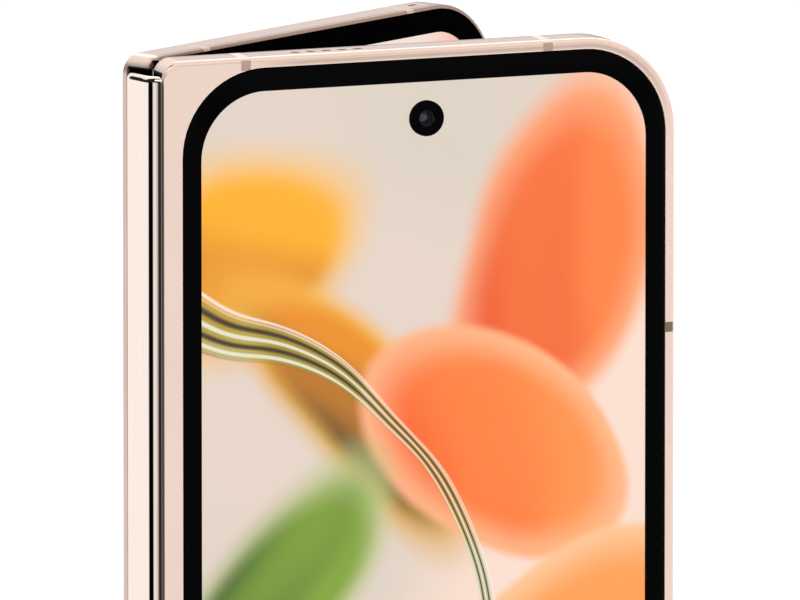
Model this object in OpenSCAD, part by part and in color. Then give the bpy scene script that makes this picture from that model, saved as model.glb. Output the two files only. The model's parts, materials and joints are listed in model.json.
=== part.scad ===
// Foldable smartphone, built as an assembly of separate pieces.
// Two thin halves are joined by a spine that holds a geared hinge.
// X is the width, Y the thickness and Z the height, in millimetres.
// The origin is the middle of the flat bottom edge of the cover half.
// The cover half's own screen faces -Y, its hinge edge is at -X, and it never moves.
// Lengths inside a half: u from its hinge edge, v from its inner face, z from its bottom.

/* [Size] */
// Height of both halves
height = 155.2; // [150:0.1:160]
// Width of one half
half_width = 75.0; // [74:0.1:78]
// Thickness of one half
half_thick = 5.1; // [5.1:0.1:5.4]
// Space between the inner faces when folded shut
shut_gap = 0.3; // [0.2:0.05:0.4]
// Outline radius of the corners away from the hinge
free_corner = 13.2; // [12.8:0.1:14]
// Outline radius of the corners at the hinge
hinge_corner = 2.6; // [2.6:0.1:2.8]
// Rounding along the outer edges of the frames
edge_round = 0.75; // [0.5:0.05:0.8]
// How far that rounding is pushed out over the hinge edge, which stays crisp
edge_shift = 0.55; // [0.3:0.05:0.6]
// Rounding along the inner edges of the frames
inner_round = 0.3; // [0.2:0.05:0.35]

/* [Fold] */
// Turn of each half from folded shut, in degrees, as the object is drawn
half_turn = 15; // [5:1:60]
// How far each half's fold axis lies from the middle plane of the spine
axis_off = 1.2; // [1.15:0.05:1.25]
// Half of the seam left between the two backs when the object lies open
open_seam = 0.1; // [0.08:0.01:0.12]
// Distance of the hinge edge of a folded half from the spine's outer face
spine_out = 2.1; // [2.0:0.05:2.2]
// Running clearance between the spine and the pocket around it
spine_clear = 0.1; // [0.08:0.01:0.12]
// Wall of the spine cover
spine_wall = 0.5; // [0.4:0.05:0.55]
// How far the ends of the spine lie inside the ends of the halves
spine_inset = 2.15; // [2.1:0.05:2.3]
// Running clearance above and below the ends of the spine
spine_end_gap = 0.35; // [0.3:0.05:0.4]
// Rounding of the spine's ends
spine_end_round = 0.8; // [0.6:0.05:1.2]
// Wall across each end of the spine cover
spine_end_wall = 0.9; // [0.8:0.05:1.0]

/* [Frame] */
// Width of the metal rim around the outer glass
rim = 1.45; // [1.3:0.05:1.5]
// Width of the flat metal beside the glass at the hinge
hinge_flange = 2.75; // [2.6:0.05:2.9]
// Corner radius of the outer glass
glass_corner = 12; // [11:0.1:12.2]
// Thickness of the outer glass
glass_thick = 0.55; // [0.5:0.05:0.6]
// Width of the ledge that the outer glass rests on
glass_ledge = 1.0; // [0.9:0.05:1.1]
// Wall of the frame along its three free sides
wall = 2.9; // [2.8:0.05:3.0]
// Width of the metal rim around the inner screen
inner_rim = 0.5; // [0.45:0.05:0.6]
// Thickness of the floor plate of each frame
deck_thick = 0.6; // [0.55:0.05:0.65]
// Length of one antenna break in the metal frame
band_len = 1.4; // [1.2:0.1:1.5]
// Distance of the first antenna break from the hinge edge
band_near = 12.0; // [11.5:0.1:12.5]
// Distance of the second antenna break from the hinge edge
band_far = 56.2; // [55.5:0.1:57]
// Distance of the side antenna breaks from the ends
band_side = 40.8; // [38:0.1:42]

/* [Outer screen] */
// Distance of the lit area from the free edge
screen_right = 4.2; // [4.15:0.05:4.5]
// Distance of the lit area from the ends
screen_end = 4.7; // [4.5:0.05:5]
// Corner radius of the lit area
screen_corner = 9.3; // [9:0.1:10]
// Distance of the lit area from the hinge edge
screen_left = 5.5; // [5.3:0.05:5.6]
// Thickness of the outer screen's panel
screen_thick = 0.6; // [0.5:0.05:0.6]
// Radius of the camera hole in the outer screen
eye_r = 2.46; // [2.3:0.01:2.5]
// Distance of the camera hole from the middle of the lit area, towards the free edge
eye_side = 0.3; // [0:0.05:0.5]
// Depth of the camera hole's centre below the top edge
eye_down = 9.8; // [9.7:0.1:10]

/* [Inner screen] */
// Depth of the inner screen's surface below the inner face
panel_deep = 0.25; // [0.25:0.01:0.3]
// Thickness of the folding screen
panel_thick = 0.25; // [0.2:0.01:0.25]
// Thickness of the thin metal plate behind the folding screen
plate_thick = 0.15; // [0.12:0.01:0.15]
// Width of the black trim over the edge of the inner screen
trim_w = 3.3; // [3:0.05:3.5]
// Distance from a fold axis to where the folding screen is fastened down
fold_hold = 5.8; // [5.7:0.05:5.9]
// Length of the straight run next to that fastening
fold_flat = 2.7; // [2.6:0.05:2.75]
// Bend radius where the folding screen leaves the plane of a half
fold_ease = 3.0; // [2.5:0.1:3.2]

/* [Hinge] */
// Number of hinge units along the spine
units = 3; // [2:1:3]
// Height of the lowest hinge unit above the bottom
unit_first = 8; // [6:0.5:10]
// Pitch radius of the toothed sector on each hinge arm
sector_r = 1.0; // [0.98:0.01:1.02]
// Number of teeth that a full ring of the sector would have
sector_teeth = 12; // [12:1:12]
// Number of teeth of each pinion
pinion_teeth = 9; // [9:1:9]
// Half thickness of a tooth at its pitch line
tooth_half = 0.085; // [0.07:0.005:0.09]
// Height of a tooth above its pitch line
tooth_add = 0.12; // [0.1:0.01:0.12]
// Inner radius of the curved slide on each hinge arm
slide_r0 = 1.6; // [1.55:0.05:1.65]
// Outer radius of the curved slide on each hinge arm
slide_r1 = 2.3; // [2.2:0.05:2.35]
// Running clearance of the curved slide in its track
slide_clear = 0.05; // [0.04:0.01:0.08]
// Radius of the pinion shafts
shaft_r = 0.3; // [0.25:0.01:0.32]
// Running clearance of the pinion shafts
shaft_clear = 0.03; // [0.02:0.01:0.05]
// Radius of the small screws' shanks
screw_r = 0.4; // [0.35:0.01:0.45]
// Radius of the small screws' heads
screw_head = 0.75; // [0.7:0.01:0.85]

/* [Camera island] */
// Width of the camera island
island_w = 36; // [34:0.5:38]
// Height of the camera island
island_h = 30.5; // [29:0.5:32]
// How far the camera island stands out of the back
island_out = 1.7; // [1.5:0.1:2]
// Corner radius of the camera island
island_corner = 9; // [8:0.1:10]
// Radius of the lens openings
lens_r = 4.4; // [4:0.1:4.5]

/* [Buttons and port] */
// How far the buttons stand out of the frame
button_out = 0.35; // [0.3:0.05:0.45]
// Thickness of the buttons
button_v = 1.9; // [1.8:0.1:2]
// Travel of the power button
button_travel = 0.25; // [0.2:0.01:0.3]
// Clearance around the buttons
button_clear = 0.08; // [0.05:0.01:0.1]
// Length of the power button
power_len = 11; // [10:0.5:12]
// Length of the volume rocker
volume_len = 20; // [18:0.5:21]
// Width of the charging port's shell
port_w = 8.94; // [8.9:0.01:9]
// Height of the charging port's shell
port_h = 3.16; // [3.1:0.01:3.2]

/* [Hidden] */
$fn = 48;
eps = 0.01;
// Distance of a fold axis from the spine's outer face, and its place inside a half
axis_in = spine_out + axis_off - open_seam;
au = axis_in - spine_out;
av = axis_off - shut_gap / 2;
// The fold axis of the cover half in the part's own axes
ax = au - half_width / 2;
ay = half_thick / 2 - av;
// Depths inside a half
deck_v = panel_deep + panel_thick + plate_thick;
bay_v = deck_v + deck_thick;
glass_v = half_thick - glass_thick;
screen_v = glass_v - screen_thick;
back_glass = 0.6;
back_v = half_thick - back_glass;
mid_v = half_thick / 2;
// Spine
spine_r = axis_in;
pocket_r = spine_r + spine_clear;
pocket_end = spine_inset - spine_end_gap;
spine_inner = spine_r - spine_wall;
spine_top = 3.3;
block_top = 2.4;
block_side = 2.15;
bay_u = 6.0;
neck_q0 = 0.4;
neck_q1 = 0.9;
// Hinge units
unit_len = 13.8;
unit_step = (height - 2 * unit_first - unit_len + 1.6) / (units - 1);
unit_z = [for (i = [0:units - 1]) unit_first + i * unit_step];
web_z = [0, 0.8];
gear_z = [0.8, 3.8];
pass_z = [3.8, 4.6];
track_z = [4.6, 10.6];
end_z = [10.6, 11.2];
tab_z = [11.2, 13.8];
clip_z = [-1.7, -0.1];
arm_z = [gear_z[0] + 0.1, track_z[1] - 0.1];
pinion_r = sector_r * pinion_teeth / sector_teeth;
pinion_x = axis_in - sqrt(pow(sector_r + pinion_r, 2) - pow(axis_off - pinion_r, 2));
mesh_dir = 180 + asin((axis_off - pinion_r) / (sector_r + pinion_r));
tooth_ded = 0.16;
tooth_slope = 0.28;
// Angles about a fold axis, in the half: where the curved slide ends, and its track in the spine
slide_end = 114;
track_end = slide_end + 93;
// Fold of the inner screen: the turn of its first bend is found by halving
fold_len = fold_hold + axis_off;
fold_v = panel_deep + panel_thick / 2;
fold_x0 = axis_in + fold_hold * cos(half_turn) - (fold_v - av) * sin(half_turn);
fold_y0 = axis_off + fold_hold * sin(half_turn) + (fold_v - av) * cos(half_turn);
fold_h0 = 180 + half_turn;
function rad(a) = a * PI / 180;
function tip_r(b) = (fold_len - fold_flat - fold_ease * rad(b)) / rad(90 - half_turn + b);
function fold_miss(b) = fold_y0 + fold_flat * sin(fold_h0)
  + fold_ease * (cos(fold_h0 - b) - cos(fold_h0)) + tip_r(b) * cos(fold_h0 - b);
function halve(a, b, n) = n == 0 ? (a + b) / 2
  : fold_miss((a + b) / 2) > 0 ? halve(a, (a + b) / 2, n - 1) : halve((a + b) / 2, b, n - 1);
bend = halve(1, 80, 30);
tip = tip_r(bend);
fold_p1 = [fold_x0 + fold_flat * cos(fold_h0), fold_y0 + fold_flat * sin(fold_h0)];
fold_p2 = fold_p1 + fold_ease * [sin(fold_h0) - sin(fold_h0 - bend), cos(fold_h0 - bend) - cos(fold_h0)];
// Points of the fold's middle line, each with its heading
function fold_first(n) = [for (i = [0:n]) let (h = fold_h0 - bend * i / n)
  [fold_p1[0] + fold_ease * (sin(fold_h0) - sin(h)), fold_p1[1] + fold_ease * (cos(h) - cos(fold_h0)), h]];
function fold_second(n) = let (g = 270 - fold_h0 + bend) [for (i = [1:n])
  let (h = fold_h0 - bend + g * i / n)
  [fold_p2[0] + tip * (sin(h) - sin(fold_h0 - bend)), fold_p2[1] + tip * (cos(fold_h0 - bend) - cos(h)), h]];
fold_half = concat([[fold_x0, fold_y0, fold_h0]], fold_first(8), fold_second(14));
function flip(l) = [for (i = [len(l) - 2:-1:0]) [l[i][0], -l[i][1], 540 - l[i][2]]];
fold_path = concat(fold_half, flip(fold_half));
function shifted(l, d) = [for (p = l) [p[0] - d * sin(p[2]), p[1] + d * cos(p[2])]];
function turned(l) = [for (i = [len(l) - 1:-1:0]) l[i]];
// Camera island and its lenses
island_u = half_width - 5.5 - island_w;
island_z = height - 7.7 - island_h;
// Lit area of the outer screen
screen_w = half_width - screen_left - screen_right;
screen_h = height - 2 * screen_end;
eye_u = screen_left + screen_w / 2 + eye_side;
lens_at = [[island_u + 9.5, island_z + 21.7], [island_u + 9.5, island_z + 8.8],
  [island_u + 23, island_z + 15.2]];
flash_at = [island_u + 31.2, island_z + 23.6];
module_w = 11.6;
// Bays
power_z = height * 0.6025;
volume_z = height * 0.464;
tray_z = height * 0.3673;
// Boards: the cover half's, with its posts and cans, and the camera half's
board_z0 = height - 47.2;
board_z1 = height - 17.2;
board_u1 = half_width - 5;
can_w = (half_width - 39) / 2;
main_z0 = height - 54.2;
main_z1 = height - 6.2;
main_u1 = island_u - 2.5;
dome_apart = 7;
// Batteries
cell_u0 = 12;
cover_cell_u1 = half_width - 22;
cover_cell_z0 = 22;
cover_cell_z1 = board_z0 - 4;
main_cell_u1 = half_width - 8;
main_cell_z0 = 32;
main_cell_z1 = main_z0 - 3;
// Port, loudspeaker and the camera in the inner screen
port_u = half_width / 2;
speaker_u0 = port_u + 7;
speaker_u1 = half_width - 14;
slot_step = 2.27;
inner_eye_u = half_width - 13;
inner_eye_z = height - 9.8;

// Placement of the three main bodies
module cover_place() {
  translate([-half_width / 2, half_thick / 2, 0])
    mirror([0, 1, 0])
      children();
}

module spine_place() {
  translate([ax, ay, 0])
    rotate([0, 0, half_turn])
      translate([-axis_in, axis_off, 0])
        children();
}

module camera_place() {
  spine_place()
    translate([axis_in, axis_off, 0])
      rotate([0, 0, half_turn])
        translate([-au, -av, 0])
          children();
}

// Flat shapes and their sweeps
module slab(v0, v1) {
  translate([0, v1, 0])
    rotate([90, 0, 0])
      linear_extrude(v1 - v0)
        children();
}

module pillar(z0, z1) {
  translate([0, 0, z0])
    linear_extrude(z1 - z0)
      children();
}

module box(u0, u1, v0, v1, z0, z1) {
  translate([u0, v0, z0])
    cube([u1 - u0, v1 - v0, z1 - z0]);
}

// Rounded outline with one radius on the hinge side and another on the free side
module outline(x0, x1, y0, y1, ra, rb) {
  translate([x0 + ra, y0])
    square([x1 - x0 - ra - rb, y1 - y0]);
  translate([x0, y0 + ra])
    square([ra, y1 - y0 - 2 * ra]);
  translate([x1 - rb, y0 + rb])
    square([rb, y1 - y0 - 2 * rb]);
  for (y = [y0 + ra, y1 - ra])
    translate([x0 + ra, y])
      circle(ra);
  for (y = [y0 + rb, y1 - rb])
    translate([x1 - rb, y])
      circle(rb);
}

// Slot shape along the first axis
module stadium(w, h) {
  square([w - h, h], center = true);
  for (s = [-1, 1])
    translate([s * (w - h) / 2, 0])
      circle(h / 2);
}

// Section of a rounded edge: x runs inward from the outer face, y from v0 to v1
module edge_section(c, v0, v1, q0, q1) {
  difference() {
    translate([0, v0])
      square([c, v1 - v0]);
    if (q0 > 0)
      difference() {
        translate([-1, v0 - 1])
          square([1 + q0, 1 + q0]);
        translate([q0, v0 + q0])
          circle(q0);
      }
    if (q1 > 0)
      difference() {
        translate([-1, v1 - q1])
          square([1 + q1, 1 + q1]);
        translate([q1, v1 - q1])
          circle(q1);
      }
  }
}

// Corner of a rounded slab, turned about a line along the thickness
module corner_piece(r, v0, v1, q0, q1) {
  rotate([-90, 0, 0])
    rotate_extrude(angle = 90)
      intersection() {
        translate([r, 0])
          mirror([1, 0])
            edge_section(r, v0, v1, q0, q1);
        translate([0, v0 - 1])
          square([r + 1, v1 - v0 + 2]);
      }
}

// Rounded slab with rounded edges on both faces
module pebble(x0, x1, z0, z1, v0, v1, ra, rb, q0, q1) {
  translate([x0 + ra, v0, z0])
    cube([x1 - x0 - ra - rb, v1 - v0, z1 - z0]);
  translate([x0, 0, z0 + ra])
    linear_extrude(z1 - z0 - 2 * ra)
      edge_section(ra, v0, v1, q0, q1);
  translate([x1, 0, z0 + rb])
    linear_extrude(z1 - z0 - 2 * rb)
      mirror([1, 0])
        edge_section(rb, v0, v1, q0, q1);
  translate([x1 - rb, 0, z0 + rb])
    corner_piece(rb, v0, v1, q0, q1);
  translate([x1 - rb, 0, z1 - rb])
    mirror([0, 0, 1])
      corner_piece(rb, v0, v1, q0, q1);
  translate([x0 + ra, 0, z0 + ra])
    mirror([1, 0, 0])
      corner_piece(ra, v0, v1, q0, q1);
  translate([x0 + ra, 0, z1 - ra])
    mirror([1, 0, 0])
      mirror([0, 0, 1])
        corner_piece(ra, v0, v1, q0, q1);
}

// The same with the long edges at top and bottom rounded too, grown by d on all sides but the hinge's
module rounded_slab(x0, d, v0, v1, ra, q0, q1) {
  q = max(q0, q1);
  r = free_corner + d;
  difference() {
    pebble(x0, half_width + d, -d, height + d, v0, v1, ra, r, q0, q1);
    for (k = [0, 1])
      translate([0, 0, k * height])
        mirror([0, 0, k])
          translate([half_width + d - r, 0, -d])
            rotate([0, -90, 0])
              linear_extrude(half_width + d - r - x0 - ra)
                difference() {
                  translate([-1, v0 - 1])
                    square([1 + q, v1 - v0 + 2]);
                  edge_section(q + 1, v0, v1, q0, q1);
                }
  }
}

// Body of a half: the outer face's rounding runs out past the hinge edge, so that it narrows there
module half_slab() {
  intersection() {
    rounded_slab(0, 0, 0, half_thick + 1, hinge_corner, inner_round, 0);
    rounded_slab(-edge_shift, eps, -1, half_thick, hinge_corner + 0.6, 0, edge_round);
  }
}

// Outline of the outer glass, grown by a clearance
module glass_outline(d) {
  outline(hinge_flange - d, half_width - rim + d, rim - d, height - rim + d,
    glass_corner + d, glass_corner + d);
}

// Outline of the inner screen's recess, less a clearance
module inner_outline(u0, d) {
  r = free_corner - d;
  translate([u0, d])
    square([half_width - r - d - u0, height - 2 * d]);
  translate([half_width - r - d, d + r])
    square([r, height - 2 * d - 2 * r]);
  for (z = [d + r, height - d - r])
    translate([half_width - r - d, z])
      circle(r);
}

// Room for the spine inside a half
module spine_pocket() {
  pillar(pocket_end, height - pocket_end) {
    translate([au, av])
      circle(pocket_r);
    translate([-2, -2])
      square([2 + au, 2 + av + pocket_r]);
  }
}

// Frame of a half before the openings of its own
module half_shell(room_v) {
  difference() {
    intersection() {
      half_slab();
      pillar(-1, height + 1) {
        translate([av, -1])
          square([half_width + 1, half_thick + 2]);
        translate([-1, av])
          square([half_width, half_thick]);
        translate([av, av])
          circle(av);
      }
    }
    slab(glass_v - (room_v == back_v ? back_glass - glass_thick : 0), half_thick + 1)
      glass_outline(0);
    slab(bay_v, room_v + eps)
      outline(bay_u, half_width - wall, wall, height - wall, 3, free_corner - wall);
    slab(-1, deck_v)
      inner_outline(-1, inner_rim);
    spine_pocket();
    for (z = unit_z)
      box(au + 2.9, bay_u + eps, av + neck_q0 - 0.05, av + neck_q1 + 0.05, z + arm_z[0] - 0.1,
        z + arm_z[1] + 0.1);
    for (z = unit_z)
      for (k = [2.2, 7.6])
        translate([au + 7, 0, z + arm_z[0] + k])
          slab(bay_v - 0.4, bay_v + 1)
            circle(screw_r + 0.02);
    for (z = flex_z)
      box(au + 2.9, bay_u + eps, av + 0.5, av + 0.9, z - 0.1, z + flex_w + 0.1);
  }
}

flex_w = 8;
flex_z = [height * 0.27, height * 0.68];

// Places where plastic interrupts the metal frame
module band_spots(side_low, side_high) {
  depth = rim + 0.3;
  for (u = [band_near, band_far])
    for (z = [[-1, depth], [height - depth, height + 1]])
      box(u - band_len / 2, u + band_len / 2, -1, half_thick + 1, z[0], z[1]);
  if (side_low)
    box(half_width - depth, half_width + 1, -1, half_thick + 1, band_side - band_len / 2,
      band_side + band_len / 2);
  if (side_high)
    box(half_width - depth, half_width + 1, -1, half_thick + 1, height - band_side - band_len / 2,
      height - band_side + band_len / 2);
}

// Cover half
speaker_u = [for (i = [0:4]) 20.1 + i * slot_step];

module cover_shell() {
  difference() {
    half_shell(screen_v);
    slab(screen_v, half_thick)
      outline(hinge_flange + glass_ledge, half_width - rim - glass_ledge, rim + glass_ledge,
        height - rim - glass_ledge, glass_corner - glass_ledge, glass_corner - glass_ledge);
    for (u = speaker_u)
      pillar(height - wall - 1, height + 1)
        translate([u, mid_v])
          stadium(1.35, 0.9);
    pillar(-1, wall + 1)
      translate([30, mid_v])
        stadium(1.6, 0.8);
    translate([0, mid_v, tray_z])
      rotate([0, 90, 0])
        translate([0, 0, half_width - wall - 1])
          linear_extrude(wall + 2)
            stadium(17.1, 1.9);
  }
}

module cover_frame() {
  color("#dcc3b4")
    cover_place() {
      difference() {
        cover_shell();
        band_spots(true, true);
      }
      for (p = cover_posts)
        translate([p[0], 0, p[1]])
          slab(bay_v, bay_v + 0.5)
            difference() {
              circle(1.3);
              circle(screw_r + 0.02);
            }
    }
}
cover_posts = [for (u = [18, board_u1 - 4]) for (z = [board_z0 + 3, board_z1 - 3]) [u, z]];

module cover_antenna_bands() {
  color("#c9ab9c")
    cover_place()
      intersection() {
        cover_shell();
        band_spots(true, true);
      }
}

module cover_glass() {
  color("#20242a")
    cover_place()
      slab(glass_v, half_thick)
        glass_outline(-0.05);
}

module cover_gasket() {
  d = glass_ledge + 0.05;
  color("#101012")
    cover_place()
      slab(screen_v, glass_v)
        difference() {
          outline(hinge_flange + d, half_width - rim - d, rim + d, height - rim - d,
            glass_corner - d, glass_corner - d);
          screen_outline(0.03);
        }
}

module screen_outline(d) {
  z0 = (height - screen_h) / 2;
  outline(screen_left - d, screen_left + screen_w + d, z0 - d, z0 + screen_h + d,
    screen_corner + d, screen_corner + d);
}

module cover_display() {
  color("#e07a3c")
    cover_place()
      slab(screen_v, glass_v)
        difference() {
          screen_outline(0);
          translate([eye_u, height - eye_down])
            circle(eye_r);
        }
}

module cover_camera() {
  u = eye_u;
  z = height - eye_down;
  color("#0c0c0e")
    cover_place() {
      box(u - 3.4, u + 3.4, bay_v, screen_v - 0.1, z - 3.4, z + 3.4);
      translate([u, 0, z])
        slab(screen_v - 0.1 - eps, glass_v)
          circle(eye_r - 0.1);
    }
}

module cover_battery() {
  color("#3c3f44")
    cover_place()
      slab(bay_v, screen_v - 0.2)
        outline(cell_u0, cover_cell_u1, cover_cell_z0, cover_cell_z1, 1.5, 1.5);
}

module cover_board() {
  color("#1f4a3a")
    cover_place()
      slab(bay_v + 0.5, bay_v + 1.1)
        difference() {
          outline(14, board_u1, board_z0, board_z1, 2, 2);
          for (p = cover_posts)
            translate(p)
              circle(screw_r + 0.05);
        }
}

module cover_shields() {
  color("#b9bcc0")
    cover_place()
      for (u = [22, 26 + can_w])
        slab(bay_v + 1.1, screen_v - 0.3)
          outline(u, u + can_w, board_z0 + 6, board_z1 - 6, 1, 1);
}

module small_screw(v0, v1, head_v) {
  slab(v0, v1 + 0.1)
    circle(screw_r);
  slab(v1, v1 + head_v)
    difference() {
      circle(screw_head);
      circle(0.28, $fn = 6);
    }
}

module cover_board_screws() {
  color("#8f9297")
    cover_place()
      for (p = cover_posts)
        translate([p[0], 0, p[1]])
          small_screw(bay_v + 0.05, bay_v + 1.1, 0.4);
}

module top_speaker() {
  color("#2b2b2e")
    cover_place()
      box(16.5, 31, bay_v, screen_v - 0.3, height - 15.5, height - wall - 0.2);
}

module speaker_mesh() {
  color("#55504c")
    cover_place()
      box(17.6, 30, mid_v - 0.75, mid_v + 0.75, height - wall - 0.2, height - wall);
}

module vibration_motor() {
  color("#a9acb0")
    cover_place()
      slab(bay_v, screen_v - 0.4)
        outline(16, 34, 6, 15, 1, 1);
}

module cover_magnets() {
  color("#77797d")
    cover_place() {
      box(half_width - 15, half_width - wall - 0.5, bay_v, bay_v + 1.6, height * 0.49, height * 0.645);
      box(board_u1 + 0.4, half_width - wall - 0.5, bay_v, bay_v + 1.6, board_z0 + 10, board_z1 - 6);
    }
}

tray_u0 = half_width - 17.5;
tray_w = 13.6;
tray_v = 0.9;

module sim_socket() {
  color("#c4c6c9")
    cover_place()
      difference() {
        box(tray_u0 - 2, half_width - wall, bay_v, screen_v - 0.4, tray_z - 9.5, tray_z + 9.5);
        box(tray_u0 - 0.3, half_width, mid_v - tray_v / 2 - 0.06, mid_v + tray_v / 2 + 0.06,
          tray_z - tray_w / 2 - 0.1, tray_z + tray_w / 2 + 0.1);
      }
}

module sim_tray() {
  color("#d9c0b1")
    cover_place() {
      difference() {
        box(tray_u0, half_width - 0.9, mid_v - tray_v / 2, mid_v + tray_v / 2, tray_z - tray_w / 2,
          tray_z + tray_w / 2);
        box(tray_u0 + 0.8, half_width - 3.6, mid_v - tray_v / 2 + 0.2, mid_v + 2,
          tray_z - tray_w / 2 + 0.8, tray_z + tray_w / 2 - 0.8);
      }
      difference() {
        translate([0, mid_v, tray_z])
          rotate([0, 90, 0])
            translate([0, 0, half_width - 1.6])
              linear_extrude(1.6)
                stadium(17.0, 1.8);
        translate([half_width, mid_v, tray_z + 6.7])
          rotate([0, 90, 0])
            cylinder(r = 0.4, h = 4, center = true);
      }
    }
}

// Inner screen of either half
module half_plate() {
  slab(panel_deep + panel_thick, deck_v)
    difference() {
      inner_outline(au + fold_hold, inner_rim + 0.05);
      children();
    }
}

module half_display() {
  slab(panel_deep, panel_deep + panel_thick)
    difference() {
      inner_outline(au + fold_hold, inner_rim + 0.05);
      children();
    }
}

module half_trim() {
  slab(0, panel_deep)
    difference() {
      inner_outline(au + 3.6, inner_rim + 0.05);
      inner_outline(-1, inner_rim + trim_w);
    }
  for (z = [inner_rim + 0.05, height - pocket_end + 0.1])
    box(av + 0.25, au + 3.6 + eps, 0, deck_v, z, z + pocket_end - inner_rim - 0.15);
}

module cover_plate() {
  color("#9a9da1")
    cover_place()
      half_plate();
}

module cover_inner_display() {
  color("#e8b9a0")
    cover_place()
      half_display();
}

module cover_inner_trim() {
  color("#141416")
    cover_place()
      half_trim();
}

// Piece of a ring between two angles
module ring_part(r0, r1, a0, a1) {
  intersection() {
    difference() {
      circle(r1);
      circle(r0);
    }
    polygon(concat([[0, 0]], [for (i = [0:4]) let (a = a0 + (a1 - a0) * i / 4)
      2 * r1 * [cos(a), sin(a)]]));
  }
}

module tooth(r) {
  w0 = tooth_half + tooth_ded * tooth_slope;
  w1 = tooth_half - tooth_add * tooth_slope;
  polygon([[r - tooth_ded - 0.1, -w0], [r - tooth_ded, -w0], [r + tooth_add, -w1],
    [r + tooth_add, w1], [r - tooth_ded, w0], [r - tooth_ded - 0.1, w0]]);
}

// Section of a hinge arm in its half: the curved slide up to an angle, the neck and the plate
module arm_section(a1) {
  translate([au, av])
    ring_part(slide_r0, slide_r1, 14, a1);
  translate([au + slide_r0 + 0.05, av + neck_q0])
    square([bay_u + 0.1 - au - slide_r0, neck_q1 - neck_q0]);
  translate([bay_u + 0.05, bay_v])
    square([au + 9 - bay_u - 0.05, av + neck_q1 - bay_v]);
}

// Section where the arm also carries its toothed sector
module gear_section(s) {
  step = 360 / sector_teeth;
  arm_section(68);
  translate([au, av]) {
    ring_part(0.6, sector_r - tooth_ded, 35, 203);
    ring_part(sector_r - tooth_ded - 0.1, slide_r1 - 0.2, 39, 64);
    for (k = [0:3])
      rotate([0, 0, mesh_dir - 90 + s * step / 4 + k * step])
        tooth(sector_r);
  }
}

// Hinge arm: a curved slide and a toothed sector about the fold axis, and a plate in the half
module hinge_arm(s) {
  difference() {
    union() {
      pillar(arm_z[0], gear_z[1] - 0.1)
        gear_section(s);
      pillar(gear_z[1] - 0.1, track_z[0] + 0.1)
        arm_section(68);
      pillar(track_z[0] + 0.1, arm_z[1])
        arm_section(slide_end);
    }
    for (k = [2.2, 7.6])
      translate([au + 7, 0, arm_z[0] + k])
        slab(0, half_thick)
          circle(screw_r + 0.05);
  }
}

module arm_screws() {
  for (z = unit_z)
    for (k = [2.2, 7.6])
      translate([au + 7, 0, z + arm_z[0] + k])
        small_screw(bay_v - 0.38, av + neck_q1, 0.4);
}

module cover_arms() {
  color("#7d8085")
    cover_place()
      for (z = unit_z)
        translate([0, 0, z])
          hinge_arm(-1);
}

module cover_arm_screws() {
  color("#8f9297")
    cover_place()
      arm_screws();
}

// Spine: distances from its outer face and its middle plane
module spine_section(r, x_top) {
  d = axis_in - r;
  for (s = [-1, 1])
    intersection() {
      translate([axis_in, s * axis_off])
        circle(r);
      translate([-1, s > 0 ? 0 : -r - axis_off - 1])
        square([x_top + 1, r + axis_off + 1]);
    }
  translate([d, -axis_off])
    square([x_top - d, 2 * axis_off]);
}

// Outer body of the spine: a turned half at each side and a flat middle, with their ends rounded alike
module spine_body() {
  for (s = [-1, 1])
    intersection() {
      translate([axis_in, s * axis_off, 0])
        rotate_extrude()
          intersection() {
            outline(-spine_r, spine_r, spine_inset, height - spine_inset, spine_end_round, spine_end_round);
            square([spine_r, height]);
          }
      box(-1, spine_top, s > 0 ? axis_off : -20, s > 0 ? 20 : -axis_off, 0, height);
    }
  intersection() {
    slab(-axis_off, axis_off)
      outline(0, 20, spine_inset, height - spine_inset, spine_end_round, 1);
    box(-1, spine_top, -20, 20, 0, height);
  }
}

module spine_cover() {
  color("#e3bfae")
    spine_place()
      difference() {
        spine_body();
        pillar(spine_inset + spine_end_wall, height - spine_inset - spine_end_wall)
          spine_section(spine_inner, spine_top + 1);
        box(1.25, 10, -2.3, 2.3, 0, height);
        box(block_top, 10, -3.4, 3.4, 0, height);
        for (z = unit_z)
          box(block_side + 0.05, 10, -8, 8, z + arm_z[0] - 0.15, z + arm_z[1] + 0.15);
        for (z = flex_z)
          box(block_top, 10, -8, 8, z - 0.2, z + flex_w + 0.2);
      }
  color("#e3bfae")
    spine_place()
      for (z = unit_z)
        difference() {
          intersection() {
            box(spine_wall - 0.05, 1.1, -2.2, 2.2, z + tab_z[0], z + tab_z[1]);
            pillar(0, height)
              spine_section(spine_inner + 0.02, spine_top);
          }
          for (s = [-1, 1])
            translate([0, s * 1.2, z + 12.5])
              rotate([0, 90, 0])
                cylinder(r = screw_r + 0.02, h = 3);
        }
}

module hinge_bases() {
  color("#6f7277")
    spine_place()
      for (z = unit_z)
        translate([0, 0, z])
          hinge_base();
}

module base_section() {
  intersection() {
    spine_section(spine_inner - 0.02, block_top);
    union() {
      translate([0, -2.3])
        square([block_top, 4.6]);
      translate([0, -6])
        square([block_side, 12]);
    }
  }
}

module both_sides() {
  children();
  mirror([0, 1, 0])
    children();
}

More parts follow.
